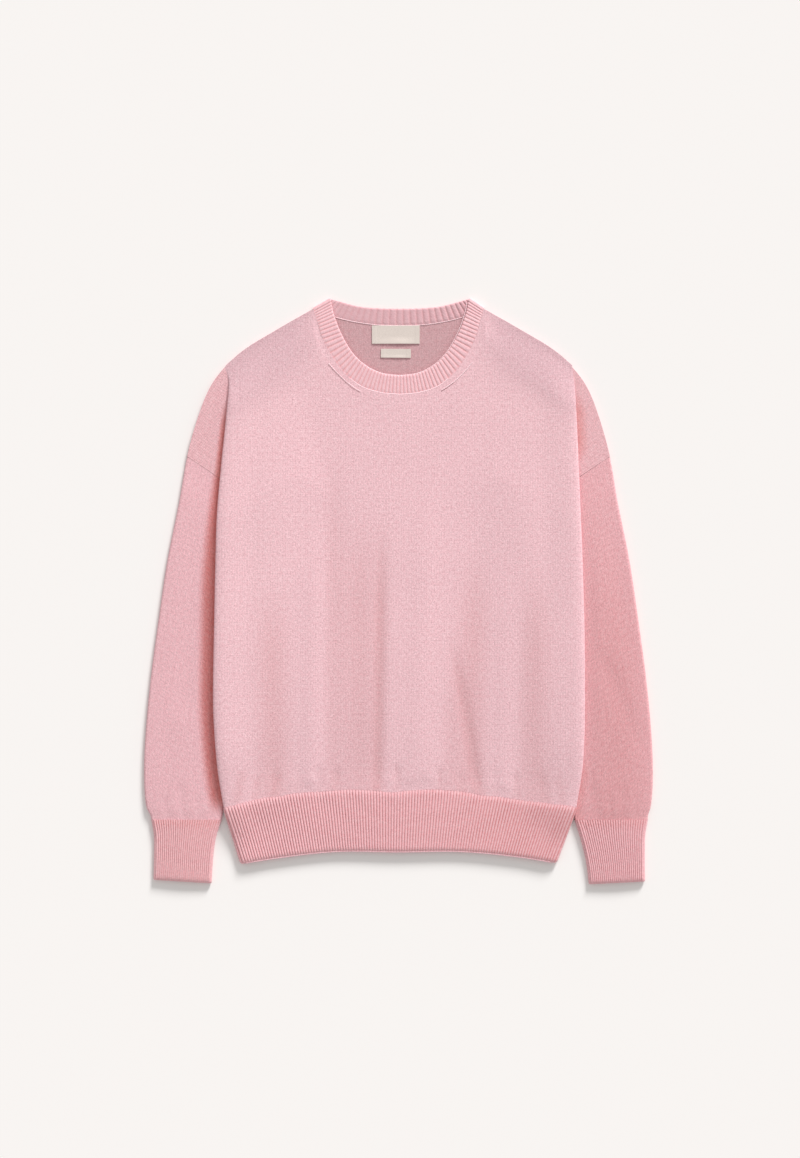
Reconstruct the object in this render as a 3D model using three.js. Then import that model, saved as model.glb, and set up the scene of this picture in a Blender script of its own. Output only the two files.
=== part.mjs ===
// Crewneck sweater in fine flat knit, laid face up on a flat surface with its sleeves folded
// down beside the body. Millimetres, +Z up from the surface, +Y towards the neck, +X to the
// right of the view. The origin is on the surface, under the middle of the garment.
import * as THREE from 'three';

// Cloth and seams
const CLOTH = 2;
const HALF_CLOTH = CLOTH / 2;
const SEAM_GAP = 0.4;
const ARMHOLE_GAP = 0.68;
const INNER_ARMHOLE_GAP = 1;
const RIB_HEIGHT = 0.8;

// Levels of the middle of the cloth above the surface
const FLOOR_LEVEL = HALF_CLOTH;
const FLAP_LEVEL = 3.4;
const UNDER_LEVEL = 7;
const HEM_UNDER_LEVEL = 6.3;
const FRONT_LEVEL = 5.4;
const HEM_LEVEL = 5;
const NECK_LEVEL = 4.7;
const FOLD_LEVEL = 12;

// Places that the pieces share: the middle of the neck, the underarm, the tip of the armhole
// seam on the outline, the top of the side fold, and the lines of the hem and the cuffs
const NECK_X = 1.5;
const UNDERARM = { x: 140, y: 88 };
const ARMHOLE_TIP = { x: 243.2, y: 157 };
const CREASE_TOP = { x: 200, y: 259 };
const FOLD_TOP = 262;
const FOLD_BOTTOM = -246;
const SIDE_SEAM_BOTTOM = 186;
const NECK_CORNER = { x: 98, y: 327 };
const CUFF_TOP = -261;

// Side folds of the body: how far in the cloth starts to turn, how much of the cloth a turn takes,
// the width and the slope of the drop to the side seam, and where the fold opens at the shoulder
const FOLD_INSET = 10;
const TURN_LENGTH = 5;
const SEAM_DROP = 12;
const SEAM_DROP_UNDERARM = 5;
const UNDERARM_BLEND = 45;
const DROP_SHARES = { start: 0.6, end: 0.45, foot: 0.2 };
const HEM_BLEND = 60;
const HEM_LIFT_BLEND = 20;
const FOLD_OPENS = 0.86;
const FLAP_TURN = 0.1;
const SHOULDER_LEAN = 9;
const FOLD_FALL = 3;
const HEM_FOLD_FALL = 2.6;
const HEM_FOLD_REACH = 76;

// Front: the share of its lift at the sleeve and at the fold, how far inside each the lift runs,
// and how far its neck, shoulder and hem edges are eased down
const SLEEVE_LIFT = { share: 0.6, inside: 22, outside: 12 };
const FOLD_LIFT = { share: 0.4, inside: 45, outside: 5 };
const TOP_EASE = 26;
const HEM_EASE = 22;
const NECK_TO_SHOULDER = { start: 75, end: 110 };

// Outline: half the width of the garment at a height
const OUTLINE = [
  { y: 327, half: 98 },
  { y: 302.5, half: 140.9 },
  { y: 279.5, half: 178.3 },
  { y: 256.5, half: 203 },
  { y: 233.5, half: 218.5 },
  { y: 199, half: 231.7 },
  { y: 157, half: 243.2 },
  { y: 107, half: 251.9 },
  { y: 38, half: 265.7 },
  { y: -31, half: 276 },
  { y: -100, half: 285.2 },
  { y: -169, half: 291.5 },
  { y: -215, half: 292.7 },
  { y: -246, half: 290.3 },
  { y: -262, half: 285.5 },
];

// Side folds of the body: distance from the middle, on the left and on the right
const SIDE_FOLD = [
  { y: 262, left: 198.5, right: 199.5 },
  { y: 241, left: 194.5, right: 201.5 },
  { y: 199, left: 197.5, right: 204 },
  { y: 150, left: 202.5, right: 206 },
  { y: 91, left: 207.6, right: 208.5 },
  { y: 39, left: 209.3, right: 210.5 },
  { y: -42, left: 211, right: 212.8 },
  { y: -123, left: 212.2, right: 213.2 },
  { y: -162, left: 210.5, right: 212.8 },
  { y: -202, left: 207, right: 210.5 },
  { y: -246, left: 200, right: 203.6 },
];

// Hem rib: its upper and lower edges across the front
const HEM = [
  { x: -205, top: -248, bottom: -316 },
  { x: -140, top: -233, bottom: -305 },
  { x: -71, top: -227.5, bottom: -297.5 },
  { x: 0, top: -226.5, bottom: -298 },
  { x: 71, top: -228, bottom: -297.5 },
  { x: 140, top: -238, bottom: -304 },
  { x: 205, top: -246, bottom: -315 },
];
const HEM_BOTTOM_HALF = 180;
const HEM_RIBS = 112;
const HEM_ROWS = 3;

// Neckband from the middle to the corner: the free edge and the seam, front and back
const NECK_FRONT = [
  { freeX: 0, freeY: 250.3, seamX: 0, seamY: 228.3 },
  { freeX: 19, freeY: 252.5, seamX: 23.5, seamY: 230.8 },
  { freeX: 37, freeY: 260.5, seamX: 47, seamY: 239.5 },
  { freeX: 53.5, freeY: 275.5, seamX: 68.5, seamY: 260 },
  { freeX: 66.5, freeY: 297, seamX: 86, seamY: 289 },
  { freeX: 76, freeY: 320, seamX: 93.5, seamY: 311.5 },
  { freeX: 80.5, freeY: 339, seamX: 98, seamY: 327 },
];
const NECK_BACK = [
  { freeX: 0, freeY: 326.7, seamX: 0, seamY: 307.6 },
  { freeX: 25, freeY: 327.2, seamX: 27, seamY: 308.2 },
  { freeX: 47, freeY: 329, seamX: 53, seamY: 311.3 },
  { freeX: 66, freeY: 334, seamX: 76, seamY: 316.5 },
  { freeX: 80.5, freeY: 339, seamX: 98, seamY: 327 },
];
const NECK_FRONT_RIBS = 64;
const NECK_BACK_RIBS = 34;
const NECK_ROWS = 3;
const NECK_TURN_STEPS = 6;

// Soft folds on the front: the line that a fold follows, its half width and its depth
const FRONT_FOLDS = [
  { xTop: -21, yTop: 60, xBottom: -21, yBottom: -225, reach: 15, depth: 1.4 },
  { xTop: 78, yTop: -10, xBottom: 94, yBottom: -228, reach: 15, depth: 1.5 },
  { xTop: -81, yTop: 165, xBottom: -79, yBottom: -225, reach: 17, depth: 0.8 },
  { xTop: -148, yTop: -120, xBottom: -146, yBottom: -232, reach: 14, depth: 0.9 },
  { xTop: 149, yTop: -65, xBottom: 147, yBottom: -235, reach: 14, depth: 0.9 },
  { xTop: 21, yTop: 120, xBottom: 24, yBottom: -170, reach: 18, depth: -0.9 },
];

// Soft folds on the sleeves: side, the line that a fold follows, its half width and its depth
const SLEEVE_FOLDS = [
  { side: 1, xTop: 243, yTop: 140, xBottom: 268, yBottom: -55, reach: 13, depth: 1.1 },
  { side: 1, xTop: 232, yTop: -65, xBottom: 277, yBottom: -170, reach: 12, depth: 0.8 },
  { side: -1, xTop: 232, yTop: 100, xBottom: 247, yBottom: -120, reach: 13, depth: 0.7 },
];

// Sleeves and cuffs, distances from the middle
const ARMS = [
  {
    side: -1, sleeveEnd: 205, cuffTopInner: 205.5, cuffTopOuter: 284,
    cuffInner: 216.5, cuffOuter: 282.5, cuffInnerEnd: -334, cuffOuterEnd: -330,
  },
  {
    side: 1, sleeveEnd: 207, cuffTopInner: 214.5, cuffTopOuter: 286,
    cuffInner: 220.5, cuffOuter: 283.5, cuffInnerEnd: -335, cuffOuterEnd: -332,
  },
];
const CUFF_RIBS = 23;
const SLEEVE_ROWS = 15;
const UNDERARM_CLEARANCE = 7;
const SLEEVE_RISE = 3.4;
const SLEEVE_CROWN = 1.3;
const ARMHOLE_RISE = FLAP_LEVEL - FLOOR_LEVEL;
const CUFF_RISE = 3;
const CUFF_CROWN = 0.7;

// Grid of the front: columns across the neck and each shoulder, rows below and above the underarm
const NECK_COLUMNS = 18;
const SHOULDER_COLUMNS = 6;
const ROWS_BELOW = 11;
const ROWS_ABOVE = 8;
const FLAP_COLUMNS = 5;
const TURN_STEPS = 2;
const BACK_HEM_STEPS = 24;

// Labels inside the back: the middle, the size and how far the piece stands proud
const LABEL_GAP = 0.3;
const LABEL_THICKNESS = 0.6;
const LABELS = [
  { name: 'neck_label', x: -3.1, y: 296.1, width: 55, height: 22, turn: 0 },
  { name: 'size_label', x: -3, y: 275.5, width: 34.6, height: 11, turn: -0.009 },
];

const KNIT = new THREE.Color(0xebbfc5);
const RIB = new THREE.Color(0xdda5aa);
const BAND = new THREE.Color(0xe6b9be);
const LABEL = new THREE.Color(0xd8cbc2);

function material(colour) {
  return new THREE.MeshStandardMaterial({ color: colour, roughness: 0.95, metalness: 0 });
}

function mix(a, b, t) {
  return a + (b - a) * t;
}

// 0 before the start, 1 after the end, with a smooth rise between them
function ease(value, start, end) {
  const t = Math.min(1, Math.max(0, (value - start) / (end - start)));
  return t * t * (3 - 2 * t);
}

// Value of one column of a table at a place in its key column, on a smooth curve through the rows
function lookUp(table, key, column, at) {
  const rows = table[0][key] < table[table.length - 1][key] ? table : [...table].reverse();
  const last = rows.length - 1;
  const inside = Math.min(rows[last][key], Math.max(rows[0][key], at));
  let i = 0;
  while (i < last - 1 && rows[i + 1][key] < inside) i += 1;
  const slope = (k) => {
    const before = rows[Math.max(0, k - 1)];
    const after = rows[Math.min(last, k + 1)];
    return (after[column] - before[column]) / (after[key] - before[key]);
  };
  const span = rows[i + 1][key] - rows[i][key];
  const t = (inside - rows[i][key]) / span;
  const startWeight = (1 + 2 * t) * (1 - t) * (1 - t);
  const endWeight = t * t * (3 - 2 * t);
  const turn = t * (1 - t) * span * ((1 - t) * slope(i) - t * slope(i + 1));
  return startWeight * rows[i][column] + endWeight * rows[i + 1][column] + turn;
}

// Point of a table of points at a share of its length in rows, on a smooth curve through them
function along(table, column, share) {
  const numbered = table.map((row, k) => ({ k, value: row[column] }));
  return lookUp(numbered, 'k', 'value', share * (table.length - 1));
}

function outlineHalf(y) {
  return lookUp(OUTLINE, 'y', 'half', y);
}

function foldHalf(side, y) {
  return lookUp(SIDE_FOLD, 'y', side < 0 ? 'left' : 'right', y);
}

// Soft trough of each fold: deepest on its line, gone at its reach and beyond its two ends
function foldDepth(folds, x, y) {
  let depth = 0;
  for (const fold of folds) {
    const share = (fold.yTop - y) / (fold.yTop - fold.yBottom);
    const centre = mix(fold.xTop, fold.xBottom, share);
    const strength = ease(share, -0.1, 0.35) * (1 - ease(share, 0.98, 1.12));
    const across = (x - centre) / fold.reach;
    depth += fold.depth * strength * Math.exp(-across * across);
  }
  return depth;
}

// Closed wall over a grid of points in the middle of the cloth. raise(i, j, face) gives what is
// added to the half thickness on the face that the normal points out of (1) and the other (-1).
function wallGeometry(grid, closed, raise = () => 0) {
  const rows = grid.length;
  const columns = grid[0].length;
  const wrap = (j) => (closed ? (j + columns) % columns : Math.min(columns - 1, Math.max(0, j)));
  const clampRow = (i) => Math.min(rows - 1, Math.max(0, i));
  const positions = [];
  for (const face of [1, -1]) {
    for (let i = 0; i < rows; i += 1) {
      for (let j = 0; j < columns; j += 1) {
        const down = grid[clampRow(i + 1)][j].clone().sub(grid[clampRow(i - 1)][j]);
        const across = grid[i][wrap(j + 1)].clone().sub(grid[i][wrap(j - 1)]);
        const normal = across.cross(down).normalize();
        const offset = face * (HALF_CLOTH + raise(i, j, face));
        const point = grid[i][j].clone().addScaledVector(normal, offset);
        positions.push(point.x, point.y, point.z);
      }
    }
  }
  const index = (face, i, j) => (face * rows + i) * columns + wrap(j);
  const indices = [];
  const quad = (a, b, c, d) => indices.push(a, b, c, a, c, d);
  const spans = closed ? columns : columns - 1;
  for (let j = 0; j < spans; j += 1) {
    for (let i = 0; i < rows - 1; i += 1) {
      quad(index(0, i, j), index(0, i, j + 1), index(0, i + 1, j + 1), index(0, i + 1, j));
      quad(index(1, i, j), index(1, i + 1, j), index(1, i + 1, j + 1), index(1, i, j + 1));
    }
    quad(index(0, 0, j), index(1, 0, j), index(1, 0, j + 1), index(0, 0, j + 1));
    const end = rows - 1;
    quad(index(0, end, j), index(0, end, j + 1), index(1, end, j + 1), index(1, end, j));
  }
  if (!closed) {
    const edge = columns - 1;
    for (let i = 0; i < rows - 1; i += 1) {
      quad(index(0, i, 0), index(0, i + 1, 0), index(1, i + 1, 0), index(1, i, 0));
      quad(index(0, i, edge), index(1, i, edge), index(1, i + 1, edge), index(0, i + 1, edge));
    }
  }
  const geometry = new THREE.BufferGeometry();
  geometry.setAttribute('position', new THREE.Float32BufferAttribute(positions, 3));
  geometry.setIndex(signedVolume(positions, indices) < 0 ? indices.reverse() : indices);
  geometry.computeVertexNormals();
  return geometry;
}

function signedVolume(positions, indices) {
  const point = (k) => new THREE.Vector3().fromArray(positions, 3 * indices[k]);
  let volume = 0;
  for (let k = 0; k < indices.length; k += 3) {
    volume += point(k).dot(point(k + 1).cross(point(k + 2))) / 6;
  }
  return volume;
}

// Points along a polygon with its corners rounded, each by a parabola between the middles of the
// two legs that meet there
function roundedPath(corners) {
  const points = [corners[0].clone()];
  const last = corners.length - 1;
  for (let k = 1; k < last; k += 1) {
    const start = k === 1 ? corners[0] : corners[k - 1].clone().lerp(corners[k], 0.5);
    const end = k === last - 1 ? corners[last] : corners[k].clone().lerp(corners[k + 1], 0.5);
    for (let step = 1; step <= TURN_STEPS; step += 1) {
      const t = step / TURN_STEPS;
      const first = start.clone().lerp(corners[k], t);
      points.push(first.lerp(corners[k].clone().lerp(end, t), t));
    }
  }
  return points;
}

// Side fold of the front below the underarm, from the top of the fold round its edge, back over
// the sleeve and down to the side seam on the surface
function lowFold(side, y, fold) {
  const seam = sideSeam(y) + SEAM_GAP;
  const low = ease(y, UNDERARM.y - UNDERARM_BLEND, UNDERARM.y);
  const drop = mix(SEAM_DROP, SEAM_DROP_UNDERARM, low);
  const level = mix(FLOOR_LEVEL, FLAP_LEVEL, low);
  const under = mix(HEM_UNDER_LEVEL, UNDER_LEVEL, ease(y, FOLD_BOTTOM, FOLD_BOTTOM + HEM_LIFT_BLEND));
  const nearHem = 1 - ease(y, FOLD_BOTTOM, FOLD_BOTTOM + HEM_BLEND);
  const at = (x, z) => {
    const shift = lookUp(HEM, 'x', 'top', side * x) + SEAM_GAP - FOLD_BOTTOM;
    return new THREE.Vector3(side * x, y + shift * nearHem, z);
  };
  const turn = Math.min(TURN_LENGTH, (fold - seam - drop) / 2);
  const points = roundedPath([
    at(fold - FOLD_INSET, foldTop(0, y)),
    at(fold, foldTop(0, y)),
    at(fold, under),
    at(fold - turn, under),
    at(seam + drop, under),
    at(seam + drop * DROP_SHARES.start, under),
    at(seam + drop * DROP_SHARES.end, level),
    at(seam + drop * DROP_SHARES.foot, level),
  ]);
  for (let k = 1; k <= FLAP_COLUMNS; k += 1) {
    points.push(at(seam + drop * DROP_SHARES.foot * (1 - k / FLAP_COLUMNS), level));
  }
  return points;
}

// Side fold of the front above the underarm: round the fold's edge, back to a crease and out
// again as the flap of the dropped shoulder, which ends at the armhole seam
function highFold(side, share) {
  const y = mix(UNDERARM.y, FOLD_TOP, share);
  const fold = foldHalf(side, y);
  const crease = {
    x: mix(UNDERARM.x, CREASE_TOP.x, share),
    y: mix(UNDERARM.y, CREASE_TOP.y, share),
  };
  const open = 1 - ease(share, FOLD_OPENS, 1);
  const under = FLAP_LEVEL + (UNDER_LEVEL - FLAP_LEVEL - share) * open;
  const flap = (s) => {
    const edgeY = mix(CREASE_TOP.y, ARMHOLE_TIP.y, s);
    const x = mix(UNDERARM.x, outlineHalf(edgeY), share);
    return new THREE.Vector3(side * x, mix(UNDERARM.y, edgeY, share), FLAP_LEVEL);
  };
  const between = (t, z) => {
    return new THREE.Vector3(side * mix(fold, crease.x, t), mix(y, crease.y, t), z);
  };
  const depth = fold - crease.x;
  const turn = depth > 0 ? Math.min(0.5, TURN_LENGTH / depth) : 0.5;
  const startY = y + SHOULDER_LEAN * ease(share, 0.7, 1);
  const points = roundedPath([
    new THREE.Vector3(side * (fold - FOLD_INSET), startY, foldTop(share, y)),
    between(0, foldTop(share, y)),
    between(0, under),
    between(turn, under),
    between(1 - turn, under),
    between(1, under),
    between(1, FLAP_LEVEL),
    flap(FLAP_TURN),
  ]);
  for (let k = 1; k <= FLAP_COLUMNS; k += 1) {
    points.push(flap(mix(FLAP_TURN, 1, k / FLAP_COLUMNS)));
  }
  return points;
}

function sideSeam(y) {
  return mix(UNDERARM.x, SIDE_SEAM_BOTTOM, (UNDERARM.y - y) / (UNDERARM.y - FOLD_BOTTOM));
}

// Height of the cloth at the top of the side fold, by the share of the way from underarm to shoulder
function foldTop(share, y) {
  const nearHem = 1 - ease(y, FOLD_BOTTOM, FOLD_BOTTOM + HEM_FOLD_REACH);
  const full = FOLD_LEVEL - FOLD_FALL * share - HEM_FOLD_FALL * nearHem;
  return mix(full, FLAP_LEVEL, ease(share, FOLD_OPENS, 1));
}

// Upper edge of the front at a share of its width: the neck seam, then the shoulder
function topEdge(share) {
  const size = Math.abs(share);
  const side = Math.sign(share);
  const neckShare = NECK_COLUMNS / (NECK_COLUMNS + 2 * SHOULDER_COLUMNS);
  if (size <= neckShare) {
    const place = size / neckShare;
    const x = along(NECK_FRONT, 'seamX', place);
    const y = along(NECK_FRONT, 'seamY', place);
    const away = new THREE.Vector2(x, y - NECK_CORNER.y).normalize().multiplyScalar(2.5 * SEAM_GAP);
    const clear = size < neckShare ? away : new THREE.Vector2(SEAM_GAP, -SEAM_GAP);
    return { x: NECK_X * (1 - place) + side * (x + clear.x), y: y + clear.y };
  }
  const place = (size - neckShare) / (1 - neckShare);
  const y = mix(NECK_CORNER.y, FOLD_TOP + SHOULDER_LEAN, place);
  return { x: side * outlineHalf(y), y };
}

function liftShare(lift, size, line, end) {
  return lift.share * ease(size, line - lift.inside, line + end);
}

// Height of the front between its side folds: level in the middle, lower at its edges, with its
// soft folds, and lifted where it lies over the sleeves
function frontLevel(x, y, edges) {
  const overSleeve = liftShare(SLEEVE_LIFT, Math.abs(x), edges.crease, SLEEVE_LIFT.outside);
  const overFold = liftShare(FOLD_LIFT, Math.abs(x), edges.fold, -FOLD_LIFT.outside);
  const lift = overSleeve + overFold;
  const shoulder = ease(Math.abs(edges.topX), NECK_TO_SHOULDER.start, NECK_TO_SHOULDER.end);
  const topLevel = mix(NECK_LEVEL, FLAP_LEVEL, shoulder);
  const body = FRONT_LEVEL - foldDepth(FRONT_FOLDS, x, y) * (1 - lift);
  const atTop = ease(y, edges.topY - TOP_EASE, edges.topY);
  const atHem = 1 - ease(y, edges.hemY, edges.hemY + HEM_EASE);
  const middle = mix(mix(body, topLevel, atTop), HEM_LEVEL, atHem);
  return mix(middle, edges.foldLevel, lift * (1 - atTop * ease(edges.share, 0.9, 1)));
}

function frontGeometry() {
  const grid = [];
  const half = NECK_COLUMNS / 2 + SHOULDER_COLUMNS;
  for (let row = 0; row <= ROWS_BELOW + ROWS_ABOVE; row += 1) {
    const share = Math.max(0, (row - ROWS_BELOW) / ROWS_ABOVE);
    const lowShare = Math.min(1, row / ROWS_BELOW);
    const lowY = mix(FOLD_BOTTOM, UNDERARM.y, lowShare);
    const foldY = share > 0 ? mix(UNDERARM.y, FOLD_TOP, share) : lowY;
    const height = (foldY - FOLD_BOTTOM) / (FOLD_TOP - FOLD_BOTTOM);
    const sides = [-1, 1].map((side) => {
      const fold = foldHalf(side, foldY);
      const crease = share > 0 ? mix(UNDERARM.x, CREASE_TOP.x, share) : sideSeam(foldY);
      const points = share > 0 ? highFold(side, share) : lowFold(side, foldY, fold);
      return { fold, crease, points };
    });
    const line = [...sides[0].points].reverse();
    for (let column = 1 - half; column < half; column += 1) {
      const place = column / half;
      const side = sides[place < 0 ? 0 : 1];
      const top = topEdge(place);
      const low = place * (side.fold - FOLD_INSET);
      const x = mix(low, top.x, ease(height, 0.5, 1));
      const hemY = lookUp(HEM, 'x', 'top', low) + SEAM_GAP;
      const y = mix(hemY, top.y, height);
      const foldLevel = foldTop(share, foldY);
      const edges = { ...side, topX: top.x, topY: top.y, hemY, share, foldLevel };
      line.push(new THREE.Vector3(x, y, frontLevel(x, y, edges)));
    }
    line.push(...sides[1].points);
    grid.push(line);
  }
  return wallGeometry(grid, false);
}

// Back: one flat layer on the surface, between the side seams, the armhole seams, the shoulders
// and the neck seam
function backGeometry() {
  const outline = [];
  for (let k = 0; k <= BACK_HEM_STEPS; k += 1) {
    const x = mix(-SIDE_SEAM_BOTTOM, SIDE_SEAM_BOTTOM, k / BACK_HEM_STEPS);
    const y = lookUp(HEM, 'x', 'top', x) + SEAM_GAP;
    outline.push([Math.sign(x) * Math.min(Math.abs(x), sideSeam(y)), y]);
  }
  const sideLine = [[UNDERARM.x, UNDERARM.y]];
  const outlineSteps = 22;
  for (let k = 0; k <= outlineSteps; k += 1) {
    const y = mix(ARMHOLE_TIP.y, NECK_CORNER.y - SEAM_GAP, k / outlineSteps);
    sideLine.push([outlineHalf(y), y]);
  }
  const neckSteps = 12;
  for (let k = 1; k < neckSteps; k += 1) {
    const place = 1 - k / neckSteps;
    sideLine.push([along(NECK_BACK, 'seamX', place), along(NECK_BACK, 'seamY', place) - 2 * SEAM_GAP]);
  }
  outline.push(...sideLine);
  outline.push([0, NECK_BACK[0].seamY - 2 * SEAM_GAP]);
  outline.push(...sideLine.reverse().map(([x, y]) => [-x, y]));
  const shape = new THREE.Shape(outline.map(([x, y]) => new THREE.Vector2(x, y)));
  return new THREE.ExtrudeGeometry(shape, { depth: CLOTH, bevelEnabled: false });
}

// One ring of a flattened tube that lies on the surface, from the inner to the outer edge along
// the bottom and back over the crowned top
function flatRing(inner, outer, rise, counts, crown) {
  const width = Math.hypot(outer.x - inner.x, outer.y - inner.y);
  const radius = rise / 2;
  const ring = [];
  const put = (distance, z) => {
    const t = distance / width;
    ring.push(new THREE.Vector3(mix(inner.x, outer.x, t), mix(inner.y, outer.y, t), z));
  };
  const arc = (centre, from) => {
    for (let k = 1; k < counts.turn; k += 1) {
      const angle = from + (Math.PI * k) / counts.turn;
      put(centre + radius * Math.cos(angle), FLOOR_LEVEL + radius + radius * Math.sin(angle));
    }
  };
  for (let k = 0; k <= counts.bottom; k += 1) {
    put(mix(radius, width - radius, k / counts.bottom), FLOOR_LEVEL);
  }
  arc(width - radius, -Math.PI / 2);
  for (let k = 0; k <= counts.top; k += 1) {
    const t = k / counts.top;
    const distance = mix(width - radius, radius, t);
    const share = distance / width;
    const x = mix(inner.x, outer.x, share);
    const y = mix(inner.y, outer.y, share);
    put(distance, FLOOR_LEVEL + rise + crown(x, y) * Math.sin(Math.PI * t));
  }
  arc(radius, Math.PI / 2);
  return ring;
}

function sleeveGeometry(arm) {
  const counts = { bottom: 4, turn: 4, top: 12 };
  const folds = SLEEVE_FOLDS.filter((fold) => fold.side === arm.side);
  const slope = (ARMHOLE_TIP.y - UNDERARM.y) / (ARMHOLE_TIP.x - UNDERARM.x);
  const innerTop = UNDERARM.x + UNDERARM_CLEARANCE;
  const innerTopY = UNDERARM.y + slope * UNDERARM_CLEARANCE - INNER_ARMHOLE_GAP;
  const grid = [];
  for (let row = 0; row <= SLEEVE_ROWS; row += 1) {
    const t = row / SLEEVE_ROWS;
    const outerY = mix(ARMHOLE_TIP.y - ARMHOLE_GAP, CUFF_TOP + SEAM_GAP * 1.2, t);
    const toCuff = ease(t, 0.9, 1);
    const inner = { x: mix(innerTop, arm.sleeveEnd, t), y: mix(innerTopY, CUFF_TOP + SEAM_GAP * 0.5, t) };
    const outer = { x: mix(outlineHalf(outerY), arm.cuffTopOuter, toCuff), y: outerY };
    inner.x = mix(inner.x, arm.cuffTopInner, ease(t, 0.93, 1));
    const rise = mix(mix(ARMHOLE_RISE, SLEEVE_RISE, ease(t, 0, 0.12)), CUFF_RISE, toCuff);
    const crown = (x, y) => {
      const clear = foldHalf(arm.side, Math.max(FOLD_BOTTOM, y)) + 3;
      const free = ease(x, clear, clear + 18) * ease(t, 0.02, 0.3);
      return mix((SLEEVE_CROWN - foldDepth(folds, x, y)) * free, CUFF_CROWN, toCuff);
    };
    const ring = flatRing(inner, outer, rise, counts, crown);
    grid.push(ring.map((point) => point.setX(arm.side * point.x)));
  }
  return wallGeometry(grid, true);
}

function cuffGeometry(arm) {
  const counts = { bottom: 4, turn: 4, top: 2 * CUFF_RIBS };
  const grid = [];
  for (const t of [0, 0.5, 1]) {
    const inner = {
      x: mix(arm.cuffTopInner, arm.cuffInner, ease(t, 0, 0.9)),
      y: mix(CUFF_TOP - SEAM_GAP, arm.cuffInnerEnd, t),
    };
    const outer = {
      x: mix(arm.cuffTopOuter, arm.cuffOuter, t),
      y: mix(CUFF_TOP, arm.cuffOuterEnd, t),
    };
    const ring = flatRing(inner, outer, CUFF_RISE, counts, () => CUFF_CROWN);
    grid.push(ring.map((point) => point.setX(arm.side * point.x)));
  }
  const firstRib = counts.bottom + counts.turn;
  const outward = arm.side < 0 ? -1 : 1;
  return wallGeometry(grid, true, (i, j, face) => {
    const rib = j - firstRib;
    const onRib = rib > 0 && rib < counts.top && rib % 2 === 1;
    return face === outward && onRib ? RIB_HEIGHT : 0;
  });
}

// Front half of the hem rib, from side seam to side seam round both side folds
function frontHemGeometry() {
  const grid = [];
  for (let row = 0; row < HEM_ROWS; row += 1) {
    const t = row / (HEM_ROWS - 1);
    const edgeY = (x) => {
      return mix(lookUp(HEM, 'x', 'top', x), lookUp(HEM, 'x', 'bottom', x), t);
    };
    const seam = hemSeam(t) + SEAM_GAP;
    const halves = [-1, 1].map((side) => mix(foldHalf(side, FOLD_BOTTOM), HEM_BOTTOM_HALF, t));
    const turns = [-1, 1].map((side, k) => {
      const fold = halves[k];
      const low = ease(t, 0, 0.7);
      const top = mix(foldTop(0, FOLD_BOTTOM), HEM_LEVEL + 0.4, low);
      const under = mix(HEM_UNDER_LEVEL, FLOOR_LEVEL, low);
      const at = (x, z) => new THREE.Vector3(side * x, edgeY(side * x), z);
      return roundedPath([
        at(fold - FOLD_INSET, top),
        at(fold, top),
        at(fold, under),
        at(mix(fold, seam, 0.4), under),
        at(mix(fold, seam, 0.7), FLOOR_LEVEL),
        at(seam, FLOOR_LEVEL),
      ]);
    });
    const line = [...turns[0]].reverse();
    for (let k = 1; k < 2 * HEM_RIBS; k += 1) {
      const place = k / HEM_RIBS - 1;
      const side = place < 0 ? 0 : 1;
      const x = place * (halves[side] - FOLD_INSET);
      const rest = halves[side] - Math.abs(x);
      const raised = turns[side][0].z - HEM_LEVEL;
      line.push(new THREE.Vector3(x, edgeY(x), HEM_LEVEL + raised * (1 - ease(rest, 8, 38))));
    }
    line.push(...turns[1]);
    grid.push(line);
  }
  const turnCount = (grid[0].length - 2 * HEM_RIBS + 1) / 2;
  return wallGeometry(grid, false, (i, j, face) => {
    const rib = j - turnCount + 1;
    const onRib = rib > 0 && rib < 2 * HEM_RIBS && rib % 2 === 1;
    return face < 0 && onRib ? RIB_HEIGHT : 0;
  });
}

function hemSeam(t) {
  return mix(SIDE_SEAM_BOTTOM, HEM_BOTTOM_HALF - 12, t);
}

// Back half of the hem rib, one flat layer on the surface
function backHemGeometry() {
  const upper = [];
  const lower = [];
  for (let k = 0; k <= BACK_HEM_STEPS; k += 1) {
    const place = (2 * k) / BACK_HEM_STEPS - 1;
    const x = place * hemSeam(0);
    upper.push(new THREE.Vector2(x, lookUp(HEM, 'x', 'top', x)));
    const low = place * hemSeam(1);
    lower.push(new THREE.Vector2(low, lookUp(HEM, 'x', 'bottom', low)));
  }
  const shape = new THREE.Shape([...lower, ...upper.reverse()]);
  return new THREE.ExtrudeGeometry(shape, { depth: CLOTH, bevelEnabled: false });
}

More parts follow.
